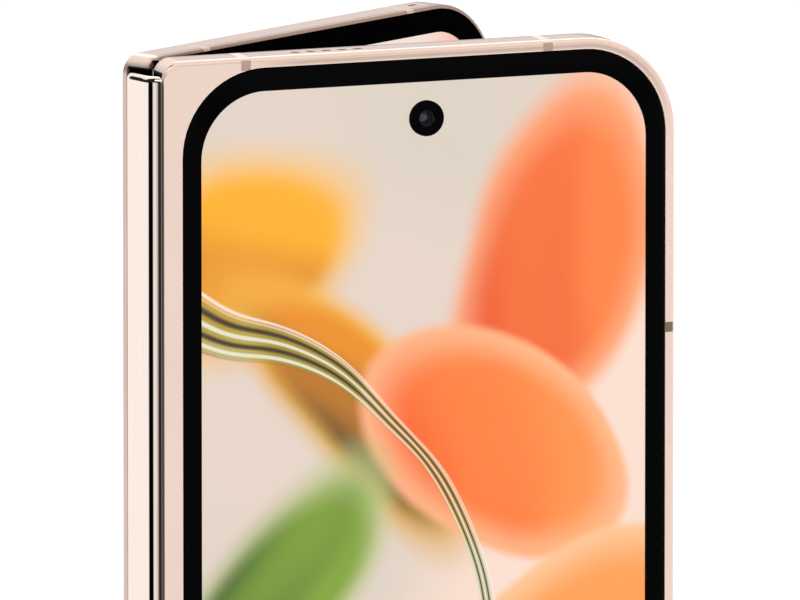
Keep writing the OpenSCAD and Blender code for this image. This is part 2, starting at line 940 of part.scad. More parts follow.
module hinge_base() {
  difference() {
    pillar(web_z[0], end_z[1])
      base_section();
    both_sides()
      translate([axis_in, axis_off, gear_z[0]]) {
        cylinder(r = slide_r1 + 0.08, h = gear_z[1] - gear_z[0]);
        pillar(0, pass_z[1] - gear_z[0] + eps)
          ring_part(slide_r0 - slide_clear, slide_r1 + slide_clear, 60, 161);
        translate([0, 0, pass_z[1] - gear_z[0]])
          pillar(0, track_z[1] - track_z[0])
            ring_part(slide_r0 - slide_clear, slide_r1 + slide_clear, 60, track_end);
      }
    both_sides()
      translate([pinion_x, pinion_r, 0]) {
        translate([0, 0, gear_z[0]])
          cylinder(r = pinion_r + tooth_add + 0.05, h = gear_z[1] - gear_z[0]);
        translate([0, 0, -1])
          cylinder(r = shaft_r + shaft_clear, h = 3);
        translate([0, 0, pass_z[0] - eps])
          cylinder(r = shaft_r + shaft_clear, h = pass_z[1] - pass_z[0] - 0.1);
      }
  }
  difference() {
    pillar(end_z[1] - eps, tab_z[1])
      intersection() {
        base_section();
        translate([1.1, -2.2])
          square([0.8, 4.4]);
      }
    for (s = [-1, 1])
      translate([0, s * 1.2, 12.5])
        rotate([0, 90, 0])
          cylinder(r = screw_r + 0.05, h = 3);
  }
}

module base_screws() {
  color("#8f9297")
    spine_place()
      for (z = unit_z)
        for (s = [-1, 1])
          translate([0, s * 1.2, z + 12.5])
            rotate([0, 90, 0]) {
              translate([0, 0, spine_wall + 0.05])
                cylinder(r = screw_r, h = 2 - spine_wall - 0.05);
              translate([0, 0, 1.9])
                difference() {
                  cylinder(r = screw_head, h = 0.4);
                  cylinder(r = 0.28, h = 1, $fn = 6);
                }
            }
}

module torque_clips() {
  color("#a5967a")
    spine_place()
      for (z = unit_z)
        pillar(z + clip_z[0], z + clip_z[1])
          difference() {
            union() {
              for (s = [-1, 1])
                translate([pinion_x, s * pinion_r])
                  circle(0.62);
              translate([pinion_x - 0.4, -pinion_r])
                square([0.8, 2 * pinion_r]);
            }
            for (s = [-1, 1])
              translate([pinion_x, s * pinion_r])
                circle(shaft_r + 0.01);
          }
}

module pinion(s) {
  turn = mesh_dir - 180 - (s * 90 / sector_teeth + half_turn) * sector_teeth / pinion_teeth
    + 180 / pinion_teeth;
  translate([pinion_x, pinion_r, 0]) {
    pillar(gear_z[0] + 0.05, gear_z[1] - 0.05) {
      circle(pinion_r - tooth_ded);
      for (k = [0:pinion_teeth - 1])
        rotate([0, 0, turn + k * 360 / pinion_teeth])
          tooth(pinion_r);
    }
    pillar(clip_z[0] - 0.2, pass_z[1] - 0.15)
      circle(shaft_r);
  }
}

module cover_pinions() {
  color("#b98f4e")
    spine_place()
      for (z = unit_z)
        translate([0, 0, z])
          mirror([0, 1, 0])
            pinion(-1);
}

module camera_pinions() {
  color("#b98f4e")
    spine_place()
      for (z = unit_z)
        translate([0, 0, z])
          pinion(1);
}

// Folding middle of the inner screen, in the bend it has as drawn
module fold_display() {
  h = panel_thick / 2;
  color("#e8b9a0")
    spine_place()
      pillar(pocket_end + 0.05, height - pocket_end - 0.05)
        polygon(concat(shifted(fold_path, h), turned(shifted(fold_path, -h))));
}

module fold_plate() {
  h = panel_thick / 2;
  color("#9a9da1")
    spine_place()
      pillar(pocket_end + 0.15, height - pocket_end - 0.15)
        polygon(concat(shifted(fold_path, -h), turned(shifted(fold_path, -h - plate_thick))));
}

// Flexible cables through the spine
function arm_point(p, q) = [axis_in + p * cos(half_turn) - q * sin(half_turn),
  axis_off + p * sin(half_turn) + q * cos(half_turn)];
function bezier(a, b, c, d, n) = [for (i = [0:n]) let (t = i / n)
  pow(1 - t, 3) * a + 3 * t * pow(1 - t, 2) * b + 3 * t * t * (1 - t) * c + t * t * t * d];
flex_end = arm_point(7.5, 0.7);
flex_mid = arm_point(3.4, 0.7);
flex_half = concat([flex_end], bezier(flex_mid, arm_point(0.9, 0.9), [1.35, 2.2], [1.35, 0], 14));
flex_line = concat(flex_half, [for (i = [len(flex_half) - 2:-1:0]) [flex_half[i][0], -flex_half[i][1]]]);
function headed(l) = [for (i = [0:len(l) - 1])
  let (a = l[max(i - 1, 0)], b = l[min(i + 1, len(l) - 1)])
  [l[i][0], l[i][1], atan2(b[1] - a[1], b[0] - a[0])]];

module hinge_flexes() {
  l = headed(flex_line);
  color("#b8762e")
    spine_place()
      for (z = flex_z)
        pillar(z, z + flex_w)
          polygon(concat(shifted(l, 0.06), turned(shifted(l, -0.06))));
}

// Camera half
module camera_shell() {
  difference() {
    half_shell(back_v);
    translate([0, mid_v, power_z])
      rotate([0, 90, 0])
        button_room(power_len);
    translate([0, mid_v, volume_z])
      rotate([0, 90, 0])
        button_room(volume_len);
    pillar(-1, 7.6)
      translate([port_u, mid_v])
        stadium(port_w + 0.1, port_h + 0.1);
    for (i = [0:4])
      pillar(-1, wall + 1)
        translate([speaker_u0 + 0.1 + i * slot_step, mid_v])
          stadium(1.35, 0.9);
    pillar(-1, wall + 1)
      translate([25, mid_v])
        stadium(1.6, 0.8);
    pillar(height - wall - 1, height + 1)
      translate([half_width - 15.3, mid_v])
        stadium(1.6, 0.8);
    translate([inner_eye_u, 0, inner_eye_z])
      slab(-1, bay_v + 1)
        circle(2.2);
  }
}

module button_room(l) {
  translate([0, 0, half_width - wall - 1])
    linear_extrude(wall + 2)
      stadium(l + 2 * button_clear, button_v + 2 * button_clear);
  translate([0, 0, half_width - wall - 1])
    linear_extrude(wall - 0.35)
      stadium(l + 2.2, button_v + 0.8);
}

module camera_frame() {
  color("#dcc3b4")
    camera_place() {
      difference() {
        camera_shell();
        band_spots(true, true);
      }
      for (p = main_posts)
        translate([p[0], 0, p[1]])
          slab(bay_v, bay_v + 0.5)
            difference() {
              circle(1.3);
              circle(screw_r + 0.02);
            }
    }
}
main_posts = [[14, main_z0 + 3], [main_u1 - 2.5, main_z0 + 3], [14, main_z1 - 3]];

module camera_antenna_bands() {
  color("#c9ab9c")
    camera_place()
      intersection() {
        camera_shell();
        band_spots(true, true);
      }
}

module island_outline(d) {
  outline(island_u - d, island_u + island_w + d, island_z - d, island_z + island_h + d,
    island_corner + d, island_corner + d);
}

module back_glass() {
  color("#d8bfb1")
    camera_place()
      slab(back_v, half_thick)
        difference() {
          glass_outline(-0.05);
          island_outline(0.05);
        }
}

module camera_island() {
  color("#dcc3b4")
    camera_place()
      difference() {
        union() {
          pebble(island_u, island_u + island_w, island_z, island_z + island_h, back_v,
            half_thick + island_out, island_corner, island_corner, 0, 0.5);
          slab(back_v - 0.3, back_v)
            island_outline(0.8);
        }
        slab(half_thick + island_out - 0.5, half_thick + island_out + 1)
          island_outline(-1.4);
        for (p = lens_at)
          translate([p[0], 0, p[1]])
            slab(0, 20)
              circle(lens_r);
        translate([flash_at[0], 0, flash_at[1]])
          slab(0, 20)
            circle(1.9);
      }
}

module island_glass() {
  color("#17181a")
    camera_place()
      slab(half_thick + island_out - 0.5, half_thick + island_out - 0.05)
        island_outline(-1.45);
}

module camera_module(i) {
  p = lens_at[i];
  box(p[0] - module_w / 2, p[0] + module_w / 2, bay_v, back_v - 0.4, p[1] - module_w / 2,
    p[1] + module_w / 2);
  translate([p[0], 0, p[1]])
    slab(back_v - 0.4 - eps, half_thick + island_out - 0.5)
      difference() {
        circle(lens_r - 0.2);
        circle(lens_r - 1.6);
      }
  translate([p[0], 0, p[1]])
    slab(back_v - 0.4 - eps, half_thick + island_out - 1.2)
      circle(lens_r - 1.55);
}

module wide_camera() {
  color("#1a1b1e")
    camera_place()
      camera_module(0);
}

module tele_camera() {
  color("#1a1b1e")
    camera_place()
      camera_module(1);
}

module ultrawide_camera() {
  color("#1a1b1e")
    camera_place()
      camera_module(2);
}

module flash_module() {
  color("#e9e2c8")
    camera_place() {
      translate([flash_at[0], 0, flash_at[1]])
        slab(back_v - 1.4, half_thick + island_out - 0.5)
          circle(1.8);
      box(flash_at[0] - 2.2, flash_at[0] + 2.2, bay_v, back_v - 1.4, flash_at[1] - 2.2,
        flash_at[1] + 2.2);
    }
}

module main_board() {
  color("#1f4a3a")
    camera_place()
      slab(bay_v + 0.5, bay_v + 1.1)
        difference() {
          union() {
            outline(11, main_u1, main_z0, main_z1, 1.5, 1.5);
            outline(main_u1 - 5, half_width - 15, main_z0, main_z0 + 9, 1.5, 1.5);
          }
          for (p = main_posts)
            translate(p)
              circle(screw_r + 0.05);
        }
}

module board_shields() {
  color("#b9bcc0")
    camera_place()
      for (s = [[13, main_u1 - 1.5, main_z0 + 7.5, main_z0 + 23],
        [13, main_u1 - 1.5, main_z0 + 26, main_z0 + 41.5],
        [main_u1 + 3, half_width - 17, main_z0 + 1.5, main_z0 + 8]])
        slab(bay_v + 1.1, back_v - 0.3)
          outline(s[0], s[1], s[2], s[3], 1, 1);
}

module main_board_screws() {
  color("#8f9297")
    camera_place()
      for (p = main_posts)
        translate([p[0], 0, p[1]])
          small_screw(bay_v + 0.05, bay_v + 1.1, 0.4);
}

module main_battery() {
  color("#3c3f44")
    camera_place()
      slab(bay_v, back_v - 0.35)
        outline(cell_u0, main_cell_u1, main_cell_z0, main_cell_z1, 1.5, 1.5);
}

module charging_coil() {
  color("#b5713a")
    camera_place()
      translate([(cell_u0 + main_cell_u1) / 2, 0, (main_cell_z0 + main_cell_z1) / 2])
        slab(back_v - 0.35, back_v)
          difference() {
            circle(21);
            circle(10.5);
          }
}

module loudspeaker() {
  color("#2b2b2e")
    camera_place()
      box(speaker_u0, speaker_u1, bay_v, back_v - 0.3, wall, 26);
}

module bottom_board() {
  color("#1f4a3a")
    camera_place()
      difference() {
        box(14, speaker_u0 - 0.5, bay_v, bay_v + 0.6, 7.5, 28);
        box(12, 15, 0, 9, 3, 15);
      }
}

module port_shell() {
  color("#b4b6ba")
    camera_place()
      translate([port_u, mid_v, 0]) {
        pillar(0.3, 7)
          difference() {
            stadium(port_w, port_h);
            stadium(port_w - 0.6, port_h - 0.6);
          }
        pillar(6.9, 7.5)
          stadium(port_w, port_h);
      }
}

module port_tongue() {
  color("#18181a")
    camera_place()
      translate([port_u, mid_v, 0])
        pillar(1.2, 6.9)
          square([6.6, 0.7], center = true);
}

module inner_camera() {
  color("#0c0c0e")
    camera_place() {
      translate([inner_eye_u, 0, inner_eye_z])
        slab(panel_deep, bay_v + 0.01)
          circle(1.9);
      box(inner_eye_u - 3, inner_eye_u + 3, bay_v, bay_v + 1.2, inner_eye_z - 2.4, inner_eye_z + 2.6);
    }
}

module camera_plate() {
  color("#9a9da1")
    camera_place()
      half_plate()
        translate([inner_eye_u, inner_eye_z])
          circle(2.0);
}

module camera_inner_display() {
  color("#e8b9a0")
    camera_place()
      half_display()
        translate([inner_eye_u, inner_eye_z])
          circle(2.0);
}

module camera_inner_trim() {
  color("#141416")
    camera_place()
      half_trim();
}

module camera_arms() {
  color("#7d8085")
    camera_place()
      for (z = unit_z)
        translate([0, 0, z])
          hinge_arm(1);
}

module camera_arm_screws() {
  color("#8f9297")
    camera_place()
      arm_screws();
}

module camera_magnets() {
  color("#77797d")
    camera_place()
      for (z = [height * 0.22, height * 0.49])
        box(main_cell_u1 + 1, half_width - wall - 1.7, bay_v, bay_v + 1.6, z, z + height * 0.116);
}

// Thin board with a dome under the power button and two under the rocker
module switch_strip() {
  color("#c8a24a")
    camera_place() {
      box(half_width - wall - 0.7, half_width - wall - 0.4, mid_v - 1, mid_v + 1.2, volume_z - 9.5,
        power_z + 5);
      for (z = [power_z, volume_z - dome_apart, volume_z + dome_apart])
        translate([half_width - wall - 0.41, mid_v, z])
          rotate([0, 90, 0])
            cylinder(r = 0.9, h = 0.4);
      box(half_width - wall - 0.7, half_width - wall - 0.4, bay_v, mid_v, power_z - 3, power_z + 3);
    }
}

// Button with a flange behind the frame's lip and a plunger over each dome
module button_cap(l, plungers) {
  translate([0, 0, half_width - 1.8])
    linear_extrude(1.8 + button_out)
      stadium(l, button_v);
  translate([0, 0, half_width - 1.96])
    linear_extrude(0.35)
      stadium(l + 1.6, button_v + 0.5);
  for (x = plungers)
    translate([x, 0, half_width - wall + button_travel + 0.02])
      cylinder(r = 0.8, h = 1);
}

module power_button() {
  color("#d6baab")
    camera_place()
      translate([0, mid_v, power_z])
        rotate([0, 90, 0])
          button_cap(power_len, [0]);
}

// The rocker tips over a round rib at its middle
module volume_rocker() {
  color("#d6baab")
    camera_place()
      translate([0, mid_v, volume_z])
        rotate([0, 90, 0]) {
          button_cap(volume_len, [-dome_apart, dome_apart]);
          translate([0, 0, half_width - 1.96])
            rotate([90, 0, 0])
              cylinder(r = 0.5, h = button_v, center = true);
        }
}

cover_frame();
cover_antenna_bands();
cover_glass();
cover_gasket();
cover_display();
cover_camera();
cover_battery();
cover_board();
cover_shields();
cover_board_screws();
top_speaker();
speaker_mesh();
vibration_motor();
cover_magnets();
sim_socket();
cover_plate();
cover_inner_display();
cover_inner_trim();
cover_arms();
cover_arm_screws();
sim_tray();
spine_cover();
hinge_bases();
base_screws();
torque_clips();
fold_display();
fold_plate();
hinge_flexes();
cover_pinions();
camera_pinions();
camera_frame();
camera_antenna_bands();
back_glass();
camera_island();
island_glass();
wide_camera();
tele_camera();
ultrawide_camera();
flash_module();
main_board();
board_shields();
main_board_screws();
main_battery();
charging_coil();
loudspeaker();
bottom_board();
port_shell();
port_tongue();
inner_camera();
camera_plate();
camera_inner_display();
camera_inner_trim();
camera_arms();
camera_arm_screws();
camera_magnets();
switch_strip();
power_button();
volume_rocker();
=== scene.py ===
import json
import math

import bpy
import numpy as np
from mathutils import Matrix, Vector


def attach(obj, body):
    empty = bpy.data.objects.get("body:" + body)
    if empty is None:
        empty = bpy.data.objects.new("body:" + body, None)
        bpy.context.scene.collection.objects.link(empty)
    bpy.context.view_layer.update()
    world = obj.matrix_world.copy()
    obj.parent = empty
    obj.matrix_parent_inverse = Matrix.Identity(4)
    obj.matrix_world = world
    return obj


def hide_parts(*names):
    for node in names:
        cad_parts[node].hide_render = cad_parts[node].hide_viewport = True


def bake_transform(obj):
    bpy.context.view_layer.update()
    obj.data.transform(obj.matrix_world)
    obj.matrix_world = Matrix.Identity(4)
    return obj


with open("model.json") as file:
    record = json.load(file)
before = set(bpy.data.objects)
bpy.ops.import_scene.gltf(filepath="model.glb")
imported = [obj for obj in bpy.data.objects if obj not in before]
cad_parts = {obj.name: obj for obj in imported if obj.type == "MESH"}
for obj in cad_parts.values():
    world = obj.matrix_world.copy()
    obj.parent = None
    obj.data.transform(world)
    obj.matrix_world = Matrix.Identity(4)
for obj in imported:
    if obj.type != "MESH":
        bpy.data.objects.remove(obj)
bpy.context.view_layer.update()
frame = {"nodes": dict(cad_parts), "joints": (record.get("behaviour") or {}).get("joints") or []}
nodes = frame["nodes"]
joints = {j["name"]: j for j in frame["joints"]}

# Sizes of the CAD model in millimetres: u runs from a half's hinge edge, v from its inner face, z from its bottom
MM = 0.001
HEIGHT, WIDTH, THICK = 155.2, 75.0, 5.1
TURN = math.radians(15)
AXIS_IN, AXIS_OFF = 3.2, 1.2
AXIS_U, AXIS_V = 1.1, 1.05
COVER_AXIS = np.array(joints["spine_fold"]["pos_m"][:2]) / MM
CAMERA_AXIS = np.array(joints["camera_fold"]["pos_m"][:2]) / MM
POCKET_R = 3.36
# Depths of the outer glass, the outer screen, the back glass and the bay's floor, then of the inner screen's layers
GLASS_V, SCREEN_V, BACK_V, BAY_V = 4.55, 3.95, 4.5, 1.25
PANEL_DEEP, PANEL_THICK, PLATE_THICK = 0.25, 0.25, 0.15
# Rounded rectangles as u0, u1, z0, z1 and corner radius; the half's own runs on past its hinge edge
GLASS_EDGE = (2.75, 73.55, 1.45, 153.75, 12.0)
GLASS_OUTLINE = (2.8, 73.5, 1.5, 153.7, 11.95)
SCREEN_EDGE = (5.5, 70.8, 4.7, 150.5, 9.3)
HALF_EDGE = (-40.0, 75.0, 0.0, 155.2, 13.2)
WINDOW_EDGE = (34.9, 68.1, 118.4, 146.1, 7.6)
# Cameras, flash and coil: places as u and z, the outer camera's with the radius of its hole
EYE, EYE_BOX = (38.45, 145.4, 2.46), 6.8
INNER_EYE = (62.0, 145.4)
LENSES = {"wide_camera": (43.0, 138.7), "tele_camera": (43.0, 125.8), "ultrawide_camera": (56.5, 132.2)}
LENS_R, LENS_BOX, ISLAND_OUT = 4.2, 11.6, 1.7
FLASH = (64.7, 140.6)
BATTERY_COIL = (39.5, 65.0)
# Fold of the inner screen: the lengths of its path, its distance from the ends, the extra thickness beside its
# middle, and the number of points by which the plate behind it stops short of the middle
FOLD_HOLD, FOLD_FLAT, FOLD_EASE = 5.8, 2.7, 3.0
FOLD_END, FOLD_CREST, BACKING_CUT = 1.85, 0.18, 14
FLEX_Z, FLEX_WIDE, FLEX_THICK = (41.904, 105.536), 8.0, 0.12
# Where a material's part lies: axis, turn and the axis in the part's own u and v
PLACES = {"camera": (CAMERA_AXIS, 2 * TURN, (AXIS_U, AXIS_V)), "spine": (COVER_AXIS, TURN, (AXIS_IN, -AXIS_OFF))}


# Places in the part's own axes
def turned_by(x, y, angle):
    """Point turned about the origin: x cos - y sin, x sin + y cos."""
    return x * math.cos(angle) - y * math.sin(angle), x * math.sin(angle) + y * math.cos(angle)


def cover_at(u, v, z):
    """Cover half: x = u - half the width, y = half the thickness - v."""
    u, v, z = np.broadcast_arrays(np.asarray(u, float), v, z)
    return np.stack([u - WIDTH / 2, THICK / 2 - v, z], -1) * MM


def spine_at(x, y, z):
    """Spine: turned by the half turn about the cover half's fold axis."""
    x, y, z = np.broadcast_arrays(np.asarray(x, float), y, z)
    a, b = turned_by(x - AXIS_IN, y + AXIS_OFF, TURN)
    return np.stack([a + COVER_AXIS[0], b + COVER_AXIS[1], z], -1) * MM


def camera_at(u, v, z):
    """Camera half: turned by twice the half turn about its own fold axis."""
    u, v, z = np.broadcast_arrays(np.asarray(u, float), v, z)
    a, b = turned_by(u - AXIS_U, v - AXIS_V, 2 * TURN)
    return np.stack([a + CAMERA_AXIS[0], b + CAMERA_AXIS[1], z], -1) * MM


def set_in(at, points):
    """Points given as u, z and v, placed on the part by at, which is one of the three above."""
    return at(points[:, 0], points[:, 2], points[:, 1])


# Meshes
def ring_faces(rows, columns):
    """Faces of a closed solid made of rings of points: quads between neighbouring rings, whose last point joins
    the first, and one flat face at either end."""
    r, c = np.meshgrid(np.arange(rows - 1), np.arange(columns), indexing="ij")
    n = (c + 1) % columns
    quads = np.stack([r * columns + c, r * columns + n, (r + 1) * columns + n, (r + 1) * columns + c], -1)
    end = np.arange(columns)
    return [*quads.reshape(-1, 4), end[::-1], end + (rows - 1) * columns]


def make_piece(name, points, faces, finish, uv=None):
    """Object at the origin from points in metres and faces of any size, with its normals turned outwards."""
    mesh = bpy.data.meshes.new(name)
    mesh.from_pydata(np.asarray(points).reshape(-1, 3).tolist(), [], [list(map(int, f)) for f in faces])
    mesh.update()
    piece = bpy.data.objects.new(name, mesh)
    bpy.context.scene.collection.objects.link(piece)
    if uv is not None:
        layer = mesh.uv_layers.new(name="pattern")
        index = np.zeros(len(mesh.loops), int)
        mesh.loops.foreach_get("vertex_index", index)
        layer.data.foreach_set("uv", np.asarray(uv, np.float32)[index].ravel())
    mesh.polygons.foreach_set("use_smooth", [len(face) < 5 for face in faces])
    mesh.materials.append(finish.material)
    if signed_volume(mesh) < 0:
        mesh.flip_normals()
    mesh.set_sharp_from_angle(angle=math.radians(32))
    return piece


def signed_volume(mesh):
    """Sum over triangles of a . (b x c) / 6, which is above 0 when the faces point outwards."""
    mesh.calc_loop_triangles()
    index = np.zeros(len(mesh.loop_triangles) * 3, int)
    mesh.loop_triangles.foreach_get("vertices", index)
    at = np.zeros(len(mesh.vertices) * 3)
    mesh.vertices.foreach_get("co", at)
    a, b, c = at.reshape(-1, 3)[index.reshape(-1, 3)].transpose(1, 0, 2)
    return float((a * np.cross(b, c)).sum() / 6)


def rounded(u0, u1, z0, z1, radius, steps=14):
    """Rounded rectangle: a quarter circle at each corner, as points and their outward directions."""
    turn = np.linspace(0, math.pi / 2, steps)
    turns = np.concatenate([turn + k * math.pi / 2 for k in range(4)])
    out = np.stack([np.cos(turns), np.sin(turns)], -1)
    left, right, low, high = u0 + radius, u1 - radius, z0 + radius, z1 - radius
    middle = np.repeat([[right, high], [left, high], [left, low], [right, low]], steps, axis=0)
    return middle + radius * out, out


def swept_plate(outline, profile):
    """Closed plate: each profile point (inset, v) gives one ring of the outline moved in by inset at depth v,
    and the first and last rings are closed by flat faces."""
    at, out = outline
    profile = np.asarray(profile, float)
    rings = at[None] - out[None] * profile[:, 0, None, None]
    points = np.concatenate([rings, np.broadcast_to(profile[:, 1, None, None], rings.shape[:2] + (1,))], -1)
    return points.reshape(-1, 3), ring_faces(len(profile), len(at))


def turned_profile(centre, profile, steps=64):
    """Closed solid of revolution: each profile point (r, v) turned about the axis through centre along v."""
    turn = np.linspace(0, 2 * math.pi, steps, endpoint=False)
    profile = np.asarray(profile, float)
    u = centre[0] + profile[:, :1] * np.cos(turn)
    z = centre[1] + profile[:, :1] * np.sin(turn)
    points = np.stack([u, z, np.broadcast_to(profile[:, 1:], u.shape)], -1)
    return points.reshape(-1, 3), ring_faces(len(profile), steps)


def joined(*parts):
    """Several lists of points and faces as one."""
    points, faces, base = [], [], 0
    for part_points, part_faces in parts:
        points.append(part_points)
        faces += [face + base for face in part_faces]
        base += len(part_points)
    return np.concatenate(points), faces


def dome(centre, radius, v, rise, count=9):
    """Profile of a lens: a flat rim, then v + rise (1 - (r / radius)^2) towards the middle."""
    r = np.linspace(radius, 0.02, count)
    return turned_profile(centre, [(radius, v - 0.4), *zip(r, v + rise * (1 - (r / radius) ** 2))])


def strip_solid(line, heading, low, high, z0, z1, at):
    """Thin strip: a line of points moved sideways by low and high, carried from z0 to z1 in two steps."""
    side = np.stack([-np.sin(heading), np.cos(heading)], -1)
    loop = np.concatenate([line + side * low, (line + side * high)[::-1]])
    z = np.linspace(z0, z1, 3)
    points = at(loop[None, :, 0], loop[None, :, 1], z[:, None])
    return points.reshape(-1, 3), ring_faces(len(z), len(loop)), z


# Materials
def tint(red, green, blue):
    """Colour from its everyday 0 to 255 values, as the linear light that shaders use."""
    c = np.array([red, green, blue]) / 255
    return tuple(np.where(c <= 0.04045, c / 12.92, ((c + 0.055) / 1.055) ** 2.4)) + (1.0,)


class Wire:
    """An output socket, with Python's operators for its maths."""

    def __init__(self, tree, socket):
        self.tree, self.socket = tree, socket

    def math(self, operation, *others):
        """Math node on this value and others, which are values or numbers."""
        node = self.tree.add("ShaderNodeMath", {"operation": operation}, dict(enumerate((self, *others))))
        return Wire(self.tree, node.outputs[0])

    def __add__(self, other): return self.math("ADD", other)
    def __sub__(self, other): return self.math("SUBTRACT", other)
    def __mul__(self, other): return self.math("MULTIPLY", other)
    def __truediv__(self, other): return self.math("DIVIDE", other)
    def __pow__(self, other): return self.math("POWER", other)
    def __neg__(self): return self * -1
    def __abs__(self): return self.math("ABSOLUTE")
    def __radd__(self, other): return self + other
    def __rsub__(self, other): return (-self) + other
    def __rmul__(self, other): return self * other
    def __rtruediv__(self, other): return self.tree.number(other) / self
    def sin(self): return self.math("SINE")
    def root(self): return self.math("SQRT")
    def least(self, other): return self.math("MINIMUM", other)
    def most(self, other): return self.math("MAXIMUM", other)
    def wrap(self, low, high): return self.math("WRAP", high, low)

    def step(self, start, end):
        """Smooth rise from 0 at start to 1 at end."""
        node = self.tree.add("ShaderNodeMapRange", {"interpolation_type": "SMOOTHSTEP"},
                             {"Value": self, "From Min": start, "From Max": end})
        return Wire(self.tree, node.outputs[0])


class Tree:
    """Nodes of one material or of the world."""

    def __init__(self, owner):
        owner.use_nodes = True
        self.nodes, self.links = owner.node_tree.nodes, owner.node_tree.links
        self.nodes.clear()

    def add(self, kind, settings=None, values=None):
        """Adds a node of a kind: its settings first, where stops are the places and colours of a ramp, then the values
        or links of its sockets."""
        node = self.nodes.new(kind)
        for key, value in (settings or {}).items():
            if key == "stops":
                ramp = node.color_ramp.elements
                ramp.remove(ramp[1])
                ramp[0].position, ramp[0].color = value[0]
                for place, colour in value[1:]:
                    ramp.new(place).color = colour
            else:
                setattr(node, key, value)
        for key, value in (values or {}).items():
            socket = node.inputs[key]
            if isinstance(value, Wire):
                self.links.new(value.socket, socket)
            else:
                socket.default_value = value
        return node

    def wire(self, kind, settings=None, values=None):
        """First output of a new node."""
        return Wire(self, self.add(kind, settings, values).outputs[0])

    def number(self, value):
        """A plain number as an output."""
        node = self.add("ShaderNodeValue")
        node.outputs[0].default_value = value
        return Wire(self, node.outputs[0])

    def mix(self, first, second, share):
        """Colour between first and second."""
        node = self.add("ShaderNodeMix", {"data_type": "RGBA"}, {0: share, 6: first, 7: second})
        return Wire(self, node.outputs[2])

    def blend(self, first, second, share):
        """Shader between first and second."""
        return self.wire("ShaderNodeMixShader", None, {0: share, 1: first, 2: second})

    def noise(self, vector, scale, detail):
        """Noise from 0 to 1; scale counts its details along one unit of the vector."""
        return self.wire("ShaderNodeTexNoise", None, {"Vector": vector, "Scale": scale, "Detail": detail})

    def vector(self, x, y, z=0.0):
        """Three values as a vector."""
        return self.wire("ShaderNodeCombineXYZ", None, {0: x, 1: y, 2: z})


class Finish(Tree):
    """One material, with the place on its piece in millimetres: x, y and z of the whole part, or of a strip's own
    pattern with uv, and u and v of the half or the spine that the material is for."""

    def __init__(self, name, part="cover", uv=False):
        self.material = bpy.data.materials.new(name)
        super().__init__(self.material)
        coordinates = self.add("ShaderNodeTexCoord")
        self.place = Wire(self, coordinates.outputs["UV" if uv else "Object"])
        split = self.add("ShaderNodeSeparateXYZ", None, {0: self.place})
        x, y, z = (Wire(self, split.outputs[i]) * 1000 for i in range(3))
        self.x, self.y, self.z = x, y, z
        if uv:
            return
        if part == "cover":
            self.u, self.v = x + WIDTH / 2, THICK / 2 - y
        else:
            axis, angle, home = PLACES[part]
            dx, dy = x - axis[0], y - axis[1]
            c, s = math.cos(angle), math.sin(angle)
            self.u, self.v = dx * c + dy * s + home[0], dy * c - dx * s + home[1]

    def surface(self, shader):
        """Ends the material with a shader."""
        self.add("ShaderNodeOutputMaterial", None, {"Surface": shader})
        return self

    def principled(self, **values):
        """Principled shader, with its sockets named in small letters."""
        names = {k: k.replace("_", " ").title().replace("Ior", "IOR") for k in values}
        return self.wire("ShaderNodeBsdfPrincipled", None, {names[k]: v for k, v in values.items()})

    def bump(self, height, depth, strength):
        """Normal bent by a height of a depth in millimetres."""
        return self.wire("ShaderNodeBump", None, {"Height": height, "Distance": depth * MM, "Strength": strength})

    def edge_distance(self, edge):
        """Signed distance in the plane of u and z to a rounded rectangle, below 0 inside it."""
        u0, u1, z0, z1, r = edge
        a = abs(self.u - (u0 + u1) / 2) - ((u1 - u0) / 2 - r)
        b = abs(self.z - (z0 + z1) / 2) - ((z1 - z0) / 2 - r)
        a0, b0 = a.most(0), b.most(0)
        return (a0 * a0 + b0 * b0).root() + a.most(b).least(0) - r

    def from_point(self, u, z):
        """Distance from a point in the plane of u and z."""
        du, dz = self.u - u, self.z - z
        return (du * du + dz * dz).root()


def near_ends(z, far, near):
    """0 where z lies more than far from both ends of the height, 1 where it lies less than near from one."""
    return abs(z - HEIGHT / 2).step(HEIGHT / 2 - far, HEIGHT / 2 - near)


